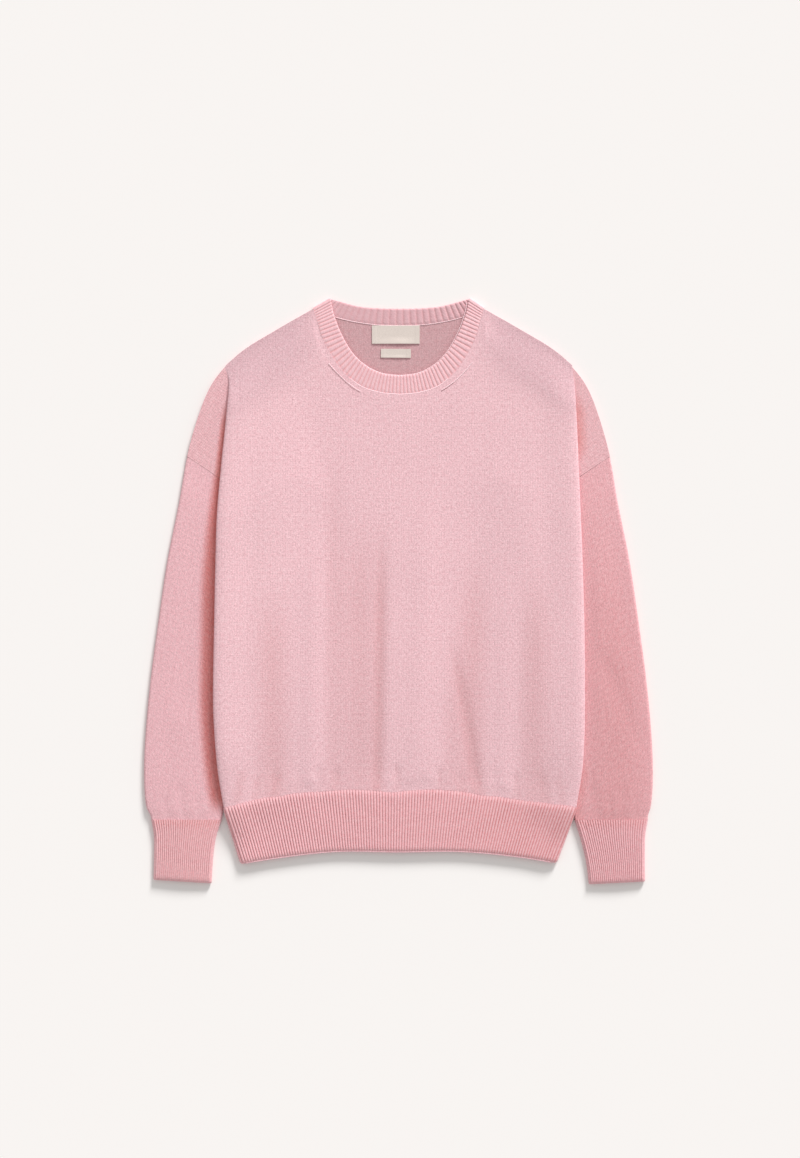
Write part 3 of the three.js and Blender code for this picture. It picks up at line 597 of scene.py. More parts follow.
def rounded_path(corners, steps):
    """Parabola at each inner corner, between the middles of its two legs. corners is rows x corners x 3."""
    count = corners.shape[1]
    path = [corners[:, :1]]
    t = np.linspace(0, 1, steps + 1)[1:, None]
    for k in range(1, count - 1):
        before, here, after = corners[:, k - 1], corners[:, k], corners[:, k + 1]
        start = before if k == 1 else (before + here) / 2
        end = after if k == count - 2 else (here + after) / 2
        start, here, end = start[:, None], here[:, None], end[:, None]
        path.append(mix(mix(start, here, t), mix(here, end, t), t))
    return np.concatenate(path, axis=1)


def fold_top(share, y):
    """Height of the side fold's upper layer: lower at the hem, and down to the flap at the shoulder."""
    near_hem = 1 - ease(y, FOLD_BOTTOM, FOLD_BOTTOM + 76)
    full = FOLD_LEVEL - 3 * share - 2.6 * near_hem
    return mix(full, FLAP_LEVEL, ease(share, FOLD_OPENS, 1))


def over_arm(x, fold, crease):
    """Share of the way from the flat front up to the side fold's upper layer."""
    return 0.6 * ease(np.abs(x), crease - 70, crease + 12) + 0.4 * ease(np.abs(x), fold - 45, fold - 5)


TURN_STEPS = 5
FLAP_COLUMNS = 16


def low_fold(side, y):
    """Rows below the underarm: over the fold's edge, back over the sleeve, down to the side seam."""
    fold, seam = fold_half(side, y), side_seam(y) + SEAM_GAP
    low = ease(y, UNDERARM[1] - 45, UNDERARM[1])
    drop, level = mix(12, 5, low), mix(FLOOR_LEVEL, FLAP_LEVEL, low)
    under = mix(HEM_UNDER_LEVEL, UNDER_LEVEL, ease(y, FOLD_BOTTOM, FOLD_BOTTOM + 20))
    near_hem = 1 - ease(y, FOLD_BOTTOM, FOLD_BOTTOM + 60)
    top = fold_top(0, y)
    turn = np.minimum(5, (fold - seam - drop) / 2)

    def at(x, z):
        shift = hem_y("top", side * x) + SEAM_GAP - FOLD_BOTTOM
        return points(side * x, y + shift * near_hem, z)

    corners = [at(fold - FOLD_INSET, top), at(fold, top), at(fold, under), at(fold - turn, under),
               at(seam + drop, under), at(seam + drop * 0.6, under), at(seam + drop * 0.45, level),
               at(seam + drop * 0.2, level)]
    path = rounded_path(np.stack(corners, 1), TURN_STEPS)
    tail = [at(seam + drop * 0.2 * (1 - k / FLAP_COLUMNS), level) for k in range(1, FLAP_COLUMNS + 1)]
    return np.concatenate([path, np.stack(tail, 1)], axis=1)


def high_fold(side, share):
    """Rows above the underarm: over the fold's edge, back to a crease, out again to the armhole seam."""
    y = mix(UNDERARM[1], FOLD_TOP, share)
    fold = fold_half(side, y)
    crease_x = mix(UNDERARM[0], CREASE_TOP[0], share)
    crease_y = mix(UNDERARM[1], CREASE_TOP[1], share)
    opened = 1 - ease(share, FOLD_OPENS, 1)
    under = FLAP_LEVEL + (UNDER_LEVEL - FLAP_LEVEL - share) * opened
    top = fold_top(share, y)
    depth = fold - crease_x
    turn = np.where(depth > 0, np.minimum(0.5, 5 / np.maximum(depth, 0.1)), 0.5)

    def between(t, z):
        return points(side * mix(fold, crease_x, t), mix(y, crease_y, t), z)

    def flap(s):
        edge_y = mix(CREASE_TOP[1], ARMHOLE_TIP[1], s)
        x = mix(UNDERARM[0], outline_half(edge_y), share)
        return points(side * x, mix(UNDERARM[1], edge_y, share), FLAP_LEVEL)

    start_y = y + SHOULDER_LEAN * ease(share, 0.7, 1)
    start = points(side * (fold - FOLD_INSET), start_y, top)
    corners = [start, between(0, top), between(0, under), between(turn, under), between(1 - turn, under),
               between(1, under), between(1, FLAP_LEVEL), flap(0.1)]
    path = rounded_path(np.stack(corners, 1), TURN_STEPS)
    tail = [flap(mix(0.1, 1, k / FLAP_COLUMNS)) for k in range(1, FLAP_COLUMNS + 1)]
    return np.concatenate([path, np.stack(tail, 1)], axis=1)


# %% Upper edge of the front
NECK_SHARE = 0.6


def top_edge(place):
    """Upper edge at a share of the front's width: the neck seam, then the shoulder down to the fold."""
    size, side = np.abs(place), np.sign(place)
    on_neck = np.minimum(size / NECK_SHARE, 1)
    x, y = along(NECK_FRONT["seam_x"], on_neck), along(NECK_FRONT["seam_y"], on_neck)
    away = np.stack([x, y - NECK_CORNER[1]], -1)
    away /= np.maximum(np.linalg.norm(away, axis=-1, keepdims=True), 1e-6)
    neck_x = NECK_X * (1 - on_neck) + side * (x + away[..., 0] * SEAM_GAP)
    neck_y = y + away[..., 1] * SEAM_GAP
    down = np.clip((size - NECK_SHARE) / (1 - NECK_SHARE), 0, 1)
    shoulder_y = mix(NECK_CORNER[1], FOLD_TOP + SHOULDER_LEAN, down)
    shoulder_x = side * outline_half(shoulder_y)
    beyond = size > NECK_SHARE
    return np.where(beyond, shoulder_x, neck_x), np.where(beyond, shoulder_y, neck_y)


# %% The front as one grid
ROWS_BELOW, ROWS_ABOVE, FRONT_COLUMNS = 92, 62, 148


def front_grid():
    """Rows from the hem to the shoulders, columns from the left seam to the right seam."""
    low_y = np.linspace(FOLD_BOTTOM, UNDERARM[1], ROWS_BELOW + 1)
    share = np.linspace(0, 1, ROWS_ABOVE + 1)[1:]
    fold_y = np.concatenate([low_y, mix(UNDERARM[1], FOLD_TOP, share)])
    shares = np.concatenate([np.zeros(ROWS_BELOW + 1), share])
    height = (fold_y - FOLD_BOTTOM) / (FOLD_TOP - FOLD_BOTTOM)
    sides = {s: np.concatenate([low_fold(s, low_y), high_fold(s, share)]) for s in (-1, 1)}
    place = np.linspace(-1, 1, FRONT_COLUMNS + 1)[None, 1:-1]
    right = place >= 0
    fold = np.where(right, fold_half(1, fold_y)[:, None], fold_half(-1, fold_y)[:, None])
    crease = np.where(shares > 0, mix(UNDERARM[0], CREASE_TOP[0], shares), side_seam(fold_y))[:, None]
    top_x, top_y = top_edge(place)
    low_x = place * (fold - FOLD_INSET)
    h = height[:, None]
    upward = ease(h, 0.5, 1)
    x = mix(low_x, top_x, upward)
    edge_x = mix(fold - FOLD_INSET, outline_half(FOLD_TOP + SHOULDER_LEAN), upward)
    x = x + np.sign(place) * (fold - FOLD_INSET - edge_x) * place**4
    hem = hem_y("top", low_x) + SEAM_GAP
    y = mix(hem, top_y, h)
    lean = SHOULDER_LEAN * ease(shares, 0.7, 1)[:, None]
    y = y + (fold_y[:, None] + lean - mix(FOLD_BOTTOM, FOLD_TOP + SHOULDER_LEAN, h)) * place**4
    crease = np.minimum(crease, fold - CREASE_INSET)
    lift = over_arm(x, fold, crease)
    body = FRONT_LEVEL + 0.6 * ripple(x, y) * (1 - lift)
    body = body - (fold_depth(FRONT_FOLDS, x, y) + fold_depth(HEM_GATHERS, x, y)) * (1 - 0.8 * lift)
    at_top = ease(y, top_y - mix(26, 48, ease(np.abs(top_x), 75, 130)), top_y)
    top_level = mix(NECK_LEVEL + 0.6, FLAP_LEVEL, ease(np.abs(top_x), 75, 110))
    over_rib = 0.3 * np.exp(-(((y - hem - 12) / 9) ** 2))
    at_hem = 1 - ease(y, hem, hem + 16)
    z = mix(mix(body + over_rib * (1 - lift), top_level, at_top), HEM_LEVEL + 0.3, at_hem * (1 - lift))
    z = mix(z, fold_top(shares, fold_y)[:, None], lift * (1 - at_top * ease(shares, 0.9, 1)[:, None]))
    middle = points(x, y, z)
    return np.concatenate([sides[-1][:, ::-1], middle, sides[1]], axis=1)


def cloth_uv(grid):
    """UV in metres: the distance walked across the grid's rows from the middle, and along its columns."""
    u = lengths(grid, 1)
    return np.stack([u - u[:, u.shape[1] // 2, None], lengths(grid, 0)], -1) * MM


def ring_uv(grid):
    """UV of a closed ring: the distance round it and the distance along it."""
    return cloth_uv(np.concatenate([grid, grid[:, :1]], axis=1))


def front_uv(grid):
    """Wales are vertical on the body and parallel to the armhole seam on the flaps, as in the real cut."""
    uv = np.stack([grid[..., 0], grid[..., 1]], -1)
    seam = np.array([ARMHOLE_TIP[0] - UNDERARM[0], ARMHOLE_TIP[1] - UNDERARM[1]])
    seam /= np.linalg.norm(seam)
    flap = FLAP_COLUMNS + TURN_STEPS * 2
    for side, columns in ((-1, slice(0, flap)), (1, slice(-flap, None))):
        x, y = side * grid[ROWS_BELOW + 1:, columns, 0], grid[ROWS_BELOW + 1:, columns, 1]
        uv[ROWS_BELOW + 1:, columns, 0] = -side * (x * -seam[1] + y * seam[0])
        uv[ROWS_BELOW + 1:, columns, 1] = x * seam[0] + y * seam[1]
    return uv * MM


def shade_beside_fold(side, x, y):
    """How much painted shade lies beside the edge of a side fold, over the sleeve or the flap: a deep, dark band on
    the left and fainter deep bands on the right.
    """
    out = np.maximum(side * x - fold_half(side, y), 0)
    if side > 0:
        shade_bands = 0.7 * ease(y, 135, 175) * (1 - ease(y, 205, 245)) + 0.35 * ease(-y, 175, 215)
        return shade_bands * np.exp(-((out / 13) ** 2)), 0 * out
    top = (1 - ease(y, 180, 240)) * ease(y, -258, -234)
    full, reach = mix(9, 3, ease(y, 0, 130)), mix(22, 11, ease(y, 0, 180))
    deep_shade = top * (1 - ease(out, full, reach))
    grey_shade = mix(0.85, 0.4, ease(y, -40, 110)) * top * ease(out, 3, 7) * (1 - ease(out, full - 1, reach - 1))
    return deep_shade, grey_shade


def front_shade_and_grain(grid):
    """Painted shade beside the side folds on the flaps, whose wales show plainly, and on the shoulders, the shoulder
    edges and the fold troughs. The lower body is darker towards the hem.
    """
    marks = np.zeros((*grid.shape[:2], 3))
    x, y = grid[..., 0], grid[..., 1]
    # Painted shade on the shoulders, along the shoulder edges and in the fold troughs; the lower body is darker
    # towards the hem.
    edge = 330 - 0.62 * np.maximum(np.abs(x) - 95, 0)
    shoulder_shade = ease(y, edge - 100, edge - 25) * ease(np.abs(x), 70, 120)
    trough_shade = np.clip(fold_depth(FRONT_FOLDS, x, y) + 0.6 * fold_depth(HEM_GATHERS, x, y), 0, 1.4)
    marks[..., 0] = 0.2 * trough_shade
    brow_shade = mix(0.24, 0.26, x > 0) * ease(y, edge - 80, edge - 20) * ease(np.abs(x), 85, 130)
    low_body = 0.14 * (1 - ease(y, -220, -20))
    marks[..., 1] = np.maximum(0.3 * shoulder_shade, low_body) + 0.2 * trough_shade + brow_shade
    count = 2 * TURN_STEPS + FLAP_COLUMNS
    # Painted shade on the flaps beside the side folds. The flaps carry at least a little of both tints, which brings
    # them to the sleeves' tone.
    for side, columns in ((-1, slice(0, count)), (1, slice(-count, None))):
        deep_shade, grey_shade = shade_beside_fold(side, x[:, columns], y[:, columns])
        marks[:, columns, 0] = np.maximum(deep_shade, 0.2)
        marks[:, columns, 1] = np.maximum(grey_shade, 0.08)
        marks[:, columns, 2] = 1
    return marks


# %% Make the front
front_points = front_grid()
front = cloth_wall("sweater_front", front_points, front_uv(front_points), KNIT, shade_and_grain=front_shade_and_grain(front_points))

# %% [markdown]
# ## The back
#
# Most of the back is hidden, but its inside shows in the neck opening and its outside shows from
# below. It lies flat. Its four sides are the hem, the two side seams with the armhole seams above
# them, and the shoulders with the neck. A Coons patch fills such an outline with a grid: it adds the
# two straight blends between opposite sides and takes away the blend between the corners.

# %% Make the back


def patch(bottom, top, left, right):
    """Coons patch between four boundary lines, given as arrays of points that share their corners."""
    c = np.linspace(0, 1, len(bottom))[None, :, None]
    v = np.linspace(0, 1, len(left))[:, None, None]
    sides = (1 - c) * left[:, None] + c * right[:, None]
    ends = (1 - v) * bottom[None] + v * top[None]
    corners = (1 - v) * ((1 - c) * bottom[0] + c * bottom[-1]) + v * ((1 - c) * top[0] + c * top[-1])
    return sides + ends - corners


def back_grid(columns=120, rows=110):
    """Flat grid of the back, at the middle of the cloth."""
    place = np.linspace(-1, 1, columns + 1)
    x = place * SIDE_SEAM_BOTTOM
    y = hem_y("top", x) + SEAM_GAP
    bottom = points(np.sign(x) * np.minimum(np.abs(x), side_seam(y)), y, FLOOR_LEVEL)
    v = np.linspace(0, 1, rows + 1)
    under = 0.68
    low = np.clip(v / under, 0, 1)
    high = np.clip((v - under) / (1 - under), 0, 1)
    side_x = mix(mix(bottom[-1, 0], UNDERARM[0], low), ARMHOLE_TIP[0], high)
    side_y = mix(mix(bottom[-1, 1], UNDERARM[1], low), ARMHOLE_TIP[1], high)
    size = np.abs(place)
    neck = 0.3
    on_neck = np.minimum(size / neck, 1)
    neck_x = along(NECK_BACK["seam_x"], on_neck)
    neck_y = along(NECK_BACK["seam_y"], on_neck) - 2 * SEAM_GAP
    down = np.clip((size - neck) / (1 - neck), 0, 1)
    edge_y = mix(NECK_CORNER[1] - 2 * SEAM_GAP, ARMHOLE_TIP[1], down)
    top_x = np.where(size > neck, outline_half(edge_y), neck_x) * np.sign(place)
    top = points(top_x, np.where(size > neck, edge_y, neck_y), FLOOR_LEVEL)
    right = points(side_x, side_y, FLOOR_LEVEL)
    left = right * np.array([-1, 1, 1])
    return patch(bottom, top, left, right)


back_points = back_grid()
back = cloth_wall("sweater_back", back_points, back_points[..., :2] * MM, INSIDE_SHADED)

# %% [markdown]
# ## Ribs
#
# One-by-one rib is a row of rounded ridges with narrow grooves. Its height across one rib is
# 1 - |2f - 1|^3, where f runs from 0 to 1 across the rib. The power makes the ridge broad and the
# groove tight.

# %% Rib profile


def rib_height(count):
    """Height of a rib from 0 to 1 at each place, where count is the number of ribs walked so far."""
    return 1 - np.abs(2 * (count - np.floor(count)) - 1) ** 3


def rib_lines(ribs):
    """The height on every line of points across a number of ribs."""
    return rib_height(np.arange(ribs * RIB_LINES + 1) / RIB_LINES)


def near_ends(walked, least):
    """Share of the ribs' height: least at the seam, full 4 mm from it, nothing at the free edge."""
    return mix(least, 1, ease(walked, 0, 4)) * ease(walked[-1:] - walked, 0.4, 3.5)


# %% [markdown]
# ## The hem
#
# The hem rib is a band about seven centimetres deep. It is narrower than the cloth that it is knitted
# on to, so its sides lean in. The front half runs round both side folds to the side seams.

# %% Make the hem
HEM_RIBS = 112
HEM_TURN_STEPS = 26


def clustered(count, ends=0.12):
    """Shares from 0 to 1 that lie closer together near both ends."""
    t = np.linspace(0, 1, count)
    return mix(t, (1 - np.cos(np.pi * t)) / 2, 1 - ends)


def front_hem_grid(rows=18):
    """Rows from the body to the free edge, columns from the left seam to the right seam."""
    t = clustered(rows)
    turns, halves = {}, {}
    seam = mix(SIDE_SEAM_BOTTOM, HEM_BOTTOM_HALF - 12, t) + SEAM_GAP
    low = ease(t, 0, 0.7)
    top = mix(fold_top(0, FOLD_BOTTOM), HEM_LEVEL + 0.4, low)
    under = mix(HEM_UNDER_LEVEL, FLOOR_LEVEL, low)
    for side in (-1, 1):
        fold = mix(fold_half(side, FOLD_BOTTOM), HEM_BOTTOM_HALF, t)
        halves[side] = fold

        def at(x, z):
            y = mix(hem_y("top", side * x), hem_y("bottom", side * x), t)
            return points(side * x, y, z)

        corners = [at(fold - FOLD_INSET, top), at(fold, top), at(fold, under), at(mix(fold, seam, 0.4), under),
                   at(mix(fold, seam, 0.7), FLOOR_LEVEL), at(seam, FLOOR_LEVEL)]
        turns[side] = rounded_path(np.stack(corners, 1), HEM_TURN_STEPS)
    place = np.linspace(-1, 1, HEM_RIBS * RIB_LINES + 1)[None, 1:-1]
    half = np.where(place >= 0, halves[1][:, None], halves[-1][:, None])
    x = place * (half - FOLD_INSET)
    y = mix(hem_y("top", x), hem_y("bottom", x), t[:, None])
    lift = over_arm(x[:1], half[:1], np.minimum(side_seam(FOLD_BOTTOM), half[:1] - CREASE_INSET))
    lift = mix(lift, 1 - ease(half - np.abs(x), 8, 38), ease(t[:, None], 0, 0.6))
    raised = (top[:, None] - HEM_LEVEL) * lift
    z = HEM_LEVEL + raised + 0.5 * ripple(x, y, 2.0) * ease(t[:, None], 0, 0.3)
    return np.concatenate([turns[-1][:, ::-1], points(x, y, z), turns[1]], axis=1)


hem_points = front_hem_grid()
hem_count = (hem_points.shape[1] - HEM_RIBS * RIB_LINES + 1) // 2
hem_walk = lengths(hem_points, 1)
hem_start, hem_end = hem_walk[:, hem_count, None], hem_walk[:, -hem_count - 1, None]
hem_phase = (hem_walk - hem_start) / (hem_end - hem_start) * HEM_RIBS
show_ribs = ease(np.minimum(hem_walk, hem_walk[:, -1:] - hem_walk), 8, 16)
from_seam = lengths(hem_points, 0)
hem_fade = near_ends(from_seam, 0.4)
hem_rise = 1.25 * rib_height(hem_phase) * show_ribs * hem_fade
# Painted shade in the grooves of the hem rib, stronger towards the right.
hem_shade_and_grain = np.zeros((*hem_points.shape[:2], 3))
groove_shade = (1 - rib_height(hem_phase)) * hem_fade * mix(1, 1.7, ease(hem_points[..., 0], 20, 150))
hem_shade_and_grain[..., 0], hem_shade_and_grain[..., 1] = 0.55 * groove_shade, 0.12 * groove_shade
hem_uv = np.stack([hem_phase * RIB_PITCH, from_seam], -1) * MM
front_hem = cloth_wall("hem_front", hem_points, hem_uv, RIB, fall=hem_rise, round_edges=(0, 0.9), shade_and_grain=hem_shade_and_grain)


def back_hem_grid(columns=160, rows=14):
    """Flat grid of the back half, which lies under the front one and shows no ribs."""
    place = np.linspace(-1, 1, columns + 1)[None]
    t = clustered(rows)[:, None]
    x = place * mix(SIDE_SEAM_BOTTOM, HEM_BOTTOM_HALF - 12, t)
    y = mix(hem_y("top", x), hem_y("bottom", x), t)
    return points(x, y, FLOOR_LEVEL)


back_hem_points = back_hem_grid()
back_hem = cloth_wall("hem_back", back_hem_points, cloth_uv(back_hem_points), RIB, round_edges=(0, 0.9))

# %% [markdown]
# ## The neckband
#
# The band is a ring of rib that is folded flat at its two corners, so the same ring shows its outside
# on the front of the neck and its inside on the back. The ring runs along the front, round the right
# corner in a half circle that stands on the fold line, back along the nape and round the left corner.

# %% Make the neckband
NECK_FRONT_RIBS, NECK_BACK_RIBS = 64, 27
CORNER_STEPS = 12


def front_level(size):
    """Level of the band at a share of the way from the middle of the front to the corner."""
    return mix(NECK_LEVEL, FLAP_LEVEL + 0.2, ease(size, 0.7, 1))


def neckband_grid(rows=18):
    """Grid of the ring: rows from the free edge to the seam, columns round the ring."""
    t = clustered(rows)[:, None]
    corner_level = front_level(1)

    def half(table, count, level, side_order):
        place = np.linspace(-1, 1, count + 1)[None] * side_order
        size, side = np.abs(place), np.where(place < 0, -1, 1)
        x = mix(along(table["free_x"], size), along(table["seam_x"], size), t)
        y = mix(along(table["free_y"], size), along(table["seam_y"], size), t)
        return points(NECK_X * (1 - t * size) + side * x, y, level(size))

    def corner(side, start, end):
        angle = np.pi * np.arange(1, CORNER_STEPS)[None] / CORNER_STEPS
        free = np.array([NECK_FRONT["free_x"][-1], NECK_FRONT["free_y"][-1]])
        seam = np.array([NECK_FRONT["seam_x"][-1], NECK_FRONT["seam_y"][-1]])
        out = np.array([free[1] - seam[1], seam[0] - free[0]])
        out = out / np.linalg.norm(out) * abs(start - end) * 0.3
        x = mix(free[0], seam[0], t) + np.sin(angle) * out[0]
        y = mix(free[1], seam[1], t) + np.sin(angle) * out[1]
        z = mix(start, end, (1 - np.cos(angle)) / 2)
        return points(NECK_X * (1 - t) + side * x, y, z)

    back_level = lambda size: FLOOR_LEVEL + 0 * size
    return np.concatenate([
        half(NECK_FRONT, NECK_FRONT_RIBS * RIB_LINES, front_level, 1),
        corner(1, corner_level, FLOOR_LEVEL),
        half(NECK_BACK, NECK_BACK_RIBS * RIB_LINES, back_level, -1),
        corner(-1, FLOOR_LEVEL, corner_level),
    ], axis=1)


band_points = neckband_grid()
front_ribs, back_ribs = rib_lines(NECK_FRONT_RIBS), rib_lines(NECK_BACK_RIBS)
on_front = slice(0, len(front_ribs))
on_back = slice(on_front.stop + CORNER_STEPS - 1, on_front.stop + CORNER_STEPS - 1 + len(back_ribs))
to_left = np.linspace(1.1, 0.5, len(back_ribs))
near_seam = 0.35 + 0.65 * ease(lengths(band_points, 0)[-1:] - lengths(band_points, 0), 0, 3)
up, down = np.zeros(band_points.shape[1]), np.zeros(band_points.shape[1])
up[on_front] = 0.62 * front_ribs * np.linspace(0.75, 0.9, len(front_ribs))
down[on_back] = 0.9 * back_ribs * to_left
up, down = up * near_seam, down * near_seam
# Painted shade in the band's grooves, and grey painted shade over the back half in the neck opening.
band_shade_and_grain = np.zeros((1, band_points.shape[1], 3))
band_shade_and_grain[0, on_front, 0] = 0.5 * (1 - front_ribs)
band_shade_and_grain[0, on_back, 0] = 0.12 + 0.25 * to_left * (1 - back_ribs)
band_shade_and_grain[0, on_back, 1] = 0.5
neckband = cloth_wall("neckband_ring", band_points, ring_uv(band_points), BAND, closed=True, rise=down, fall=up,
                      round_edges=(1.6, 0), shade_and_grain=band_shade_and_grain)

# %% [markdown]
# ## Sleeves and cuffs
#
# A sleeve that lies flat is a tube pressed down: flat below, round at both edges and a little crowned
# above where the body doesn't press on it. Each ring of the tube stands on the line between the hidden
# inner edge and the outline. The cuff is a shorter tube with ribs on its upper side.

# %% Rings of a flattened tube
ARMS = {
    "left": {
        "side": -1, "inner_end": -334, "outer_end": -330,
        "inner": [204.5, 210.5, 213.5, 215, 216], "outer": [283.5, 280.5, 280.3, 280.6, 281],
    },
    "right": {
        "side": 1, "inner_end": -335, "outer_end": -332,
        "inner": [203.5, 209.5, 214.5, 218, 220], "outer": [286, 283, 282.6, 282.6, 282.8],
    },
}
SLEEVE_FOLDS = {
    "left": np.array([(232, 100, 247, -120, 13, 0.7), (262, -150, 270, -240, 9, 0.5)]),
    "right": np.array([(243, 140, 268, -55, 13, 1.1), (232, -65, 277, -170, 12, 0.8),
                       (218, -180, 220, -250, 5, 0.9)]),
}
CUFF_GATHERS = {
    "left": np.array([(214, -225, 216, -262, 5, 0.5), (230, -232, 232, -262, 4, 0.5),
                      (251, -215, 249, -262, 6, 0.6), (270, -234, 267, -262, 5, 0.6)]),
    "right": np.array([(226, -218, 228, -262, 5, 0.6), (243, -232, 243, -262, 4, 0.5),
                       (259, -220, 257, -262, 5, 0.5), (275, -230, 272, -262, 5, 0.6)]),
}
SLEEVE_RISE, SLEEVE_CROWN = 3.4, 1.3
CUFF_RISE, CUFF_CROWN = 3.0, 0.7
CUFF_RIBS = 27


def flat_rings(inner, outer, rise, crown, bottom=24, turn=12, top=90):
    """Rings from the inner edge along the bottom to the outer edge and back over the top.

    inner and outer are rows x 2 points, rise is the height of the upper layer over the lower one, and
    crown(x, y) what is added to it, times sin(pi t) across the top."""
    width = np.linalg.norm(outer - inner, axis=1)[:, None]
    radius = rise[:, None] / 2
    t = np.linspace(0, 1, bottom + 1)[None]
    low = mix(radius, width - radius, t)
    angle = np.pi * np.arange(1, turn)[None] / turn
    edge = width - radius + radius * np.sin(angle)
    edge_z = FLOOR_LEVEL + radius * (1 - np.cos(angle))
    s = np.linspace(0, 1, top + 1)[None]
    high = mix(width - radius, radius, s)
    back = radius - radius * np.sin(angle)
    back_z = FLOOR_LEVEL + radius * (1 + np.cos(angle))
    distance = np.concatenate([low, edge, high, back], axis=1)
    x = mix(inner[:, :1], outer[:, :1], distance / width)
    y = mix(inner[:, 1:], outer[:, 1:], distance / width)
    on_top = slice(bottom + turn, bottom + turn + top + 1)
    crowned = crown(x[:, on_top], y[:, on_top]) * np.sin(np.pi * s)
    z = np.concatenate([FLOOR_LEVEL + 0 * low, edge_z, FLOOR_LEVEL + 2 * radius + crowned, back_z], axis=1)
    return points(x, y, z), on_top


# %% Make the sleeves and the cuffs


def sleeve_grid(name, arm, rows=130):
    """Rings from the armhole seam to the cuff."""
    t = np.linspace(0, 1, rows + 1)
    slope = (ARMHOLE_TIP[1] - UNDERARM[1]) / (ARMHOLE_TIP[0] - UNDERARM[0])
    start_x, start_y = UNDERARM[0] + 7, UNDERARM[1] + 7 * slope - 0.75
    to_cuff = ease(t, 0.965, 1)
    outer_y = mix(ARMHOLE_TIP[1] - 0.75, CUFF_TOP + SEAM_GAP, t)
    outer = np.stack([mix(outline_half(outer_y) - CLOTH / 2, arm["outer"][0], to_cuff), outer_y], 1)
    inner_x = mix(start_x, arm["inner"][0], t)
    inner = np.stack([inner_x, mix(start_y, CUFF_TOP + SEAM_GAP, t)], 1)
    rise = mix(FLAP_LEVEL - FLOOR_LEVEL, SLEEVE_RISE, ease(t, 0, 0.12))
    rise = mix(rise, CUFF_RISE, ease(t, 0.945, 1))
    tt = t[:, None]

    def crown(x, y):
        clear = fold_half(arm["side"], np.maximum(y, FOLD_BOTTOM)) + 3
        free = ease(x, clear, clear + 18) * ease(tt, 0.02, 0.3)
        dips = fold_depth(SLEEVE_FOLDS[name], x, y) + fold_depth(CUFF_GATHERS[name], x, y)
        over_cuff = 0.2 * np.exp(-(((y - CUFF_TOP - 9) / 8) ** 2))
        loose = SLEEVE_CROWN - dips + 0.5 * ripple(x, y, arm["side"] * 1.7) + over_cuff
        return mix(loose * free, CUFF_CROWN + 0.3, ease(tt, 0.975, 1))

    return flat_rings(inner, outer, rise, crown)[0] * np.array([arm["side"], 1, 1])


def cuff_grid(arm, rows=18):
    """Rings from the sleeve to the cuff's edge, with eight lines for each rib on the upper side."""
    t = clustered(rows)
    inner = np.stack([along(arm["inner"], t), mix(CUFF_TOP - SEAM_GAP, arm["inner_end"], t)], 1)
    outer = np.stack([along(arm["outer"], t), mix(CUFF_TOP, arm["outer_end"], t)], 1)
    rise = np.full(rows, CUFF_RISE)
    seam_fold = 1.2 if arm["side"] > 0 else 0

    def crown(x, y):
        line = mix(214.5, 221, ease(-y, 262, 310))
        return CUFF_CROWN + 0.3 * ripple(x, y, 3.0) - seam_fold * np.exp(-(((x - line) / 1.4) ** 2))

    grid, on_top = flat_rings(inner, outer, rise, crown, top=CUFF_RIBS * RIB_LINES)
    return grid * np.array([arm["side"], 1, 1]), on_top


sleeves, cuffs = {}, {}
for name, arm in ARMS.items():
    grid, right = sleeve_grid(name, arm), arm["side"] > 0
    # Painted shade on the sleeves: beside the body's side folds, darker towards the cuff, and a deeper band down the
    # middle of the right sleeve.
    shade_and_grain = np.zeros((*grid.shape[:2], 3))
    down = 1 - ease(grid[..., 1], -260, 140)
    deep_shade, grey_shade = shade_beside_fold(arm["side"], grid[..., 0], grid[..., 1])
    fold = fold_half(arm["side"], grid[..., 1])
    inward = (np.abs(grid[..., 0]) - fold) / (outline_half(grid[..., 1]) - fold)
    middle = mix(0.35, 1, np.sin(np.pi * np.clip(inward, 0, 1))) if right else 1
    right_sleeve_shade = 0.25 * (1 - ease(grid[..., 1], -100, 150)) * right
    shade_and_grain[..., 0] = np.maximum(deep_shade, right_sleeve_shade * middle)
    shade_and_grain[..., 1] = np.maximum(grey_shade, down * middle * (0.25 if right else 0.08))
    sleeves[name] = cloth_wall(f"sleeve_{name}", grid, ring_uv(grid), SLEEVE[name], closed=True, shade_and_grain=shade_and_grain)
    grid, on_top = cuff_grid(arm)
    ribs = np.zeros(grid.shape[:2])
    walked = lengths(grid, 0)[:, on_top]
    cuff_fade = near_ends(walked, 0.8)
    ribs[:, on_top] = rib_lines(CUFF_RIBS) * cuff_fade
    faces = {"rise": ribs} if right else {"fall": ribs}
    # Painted shade in the cuff's grooves, deeper next to the sleeve.
    shade_and_grain = np.zeros((*grid.shape[:2], 3))
    cuff_groove_shade = (1 - rib_lines(CUFF_RIBS)) * cuff_fade
    shade_and_grain[:, on_top, 0] = 0.3 * cuff_groove_shade + (0.3 * cuff_groove_shade + 0.12) * (1 - ease(walked, 2, 14))
    cuffs[name] = cloth_wall(f"cuff_{name}", grid, ring_uv(grid), CUFF[name], closed=True, round_edges=(0, 0.9),
                             shade_and_grain=shade_and_grain, **faces)

# %% [markdown]
# ## Labels
#
# Two woven labels are sewn inside the back of the neck. They are left bare. Each is a thin strip whose
# short ends are folded under, so the ends are a little thicker, and its lower edge lifts off the knit.

# %% Make the labels


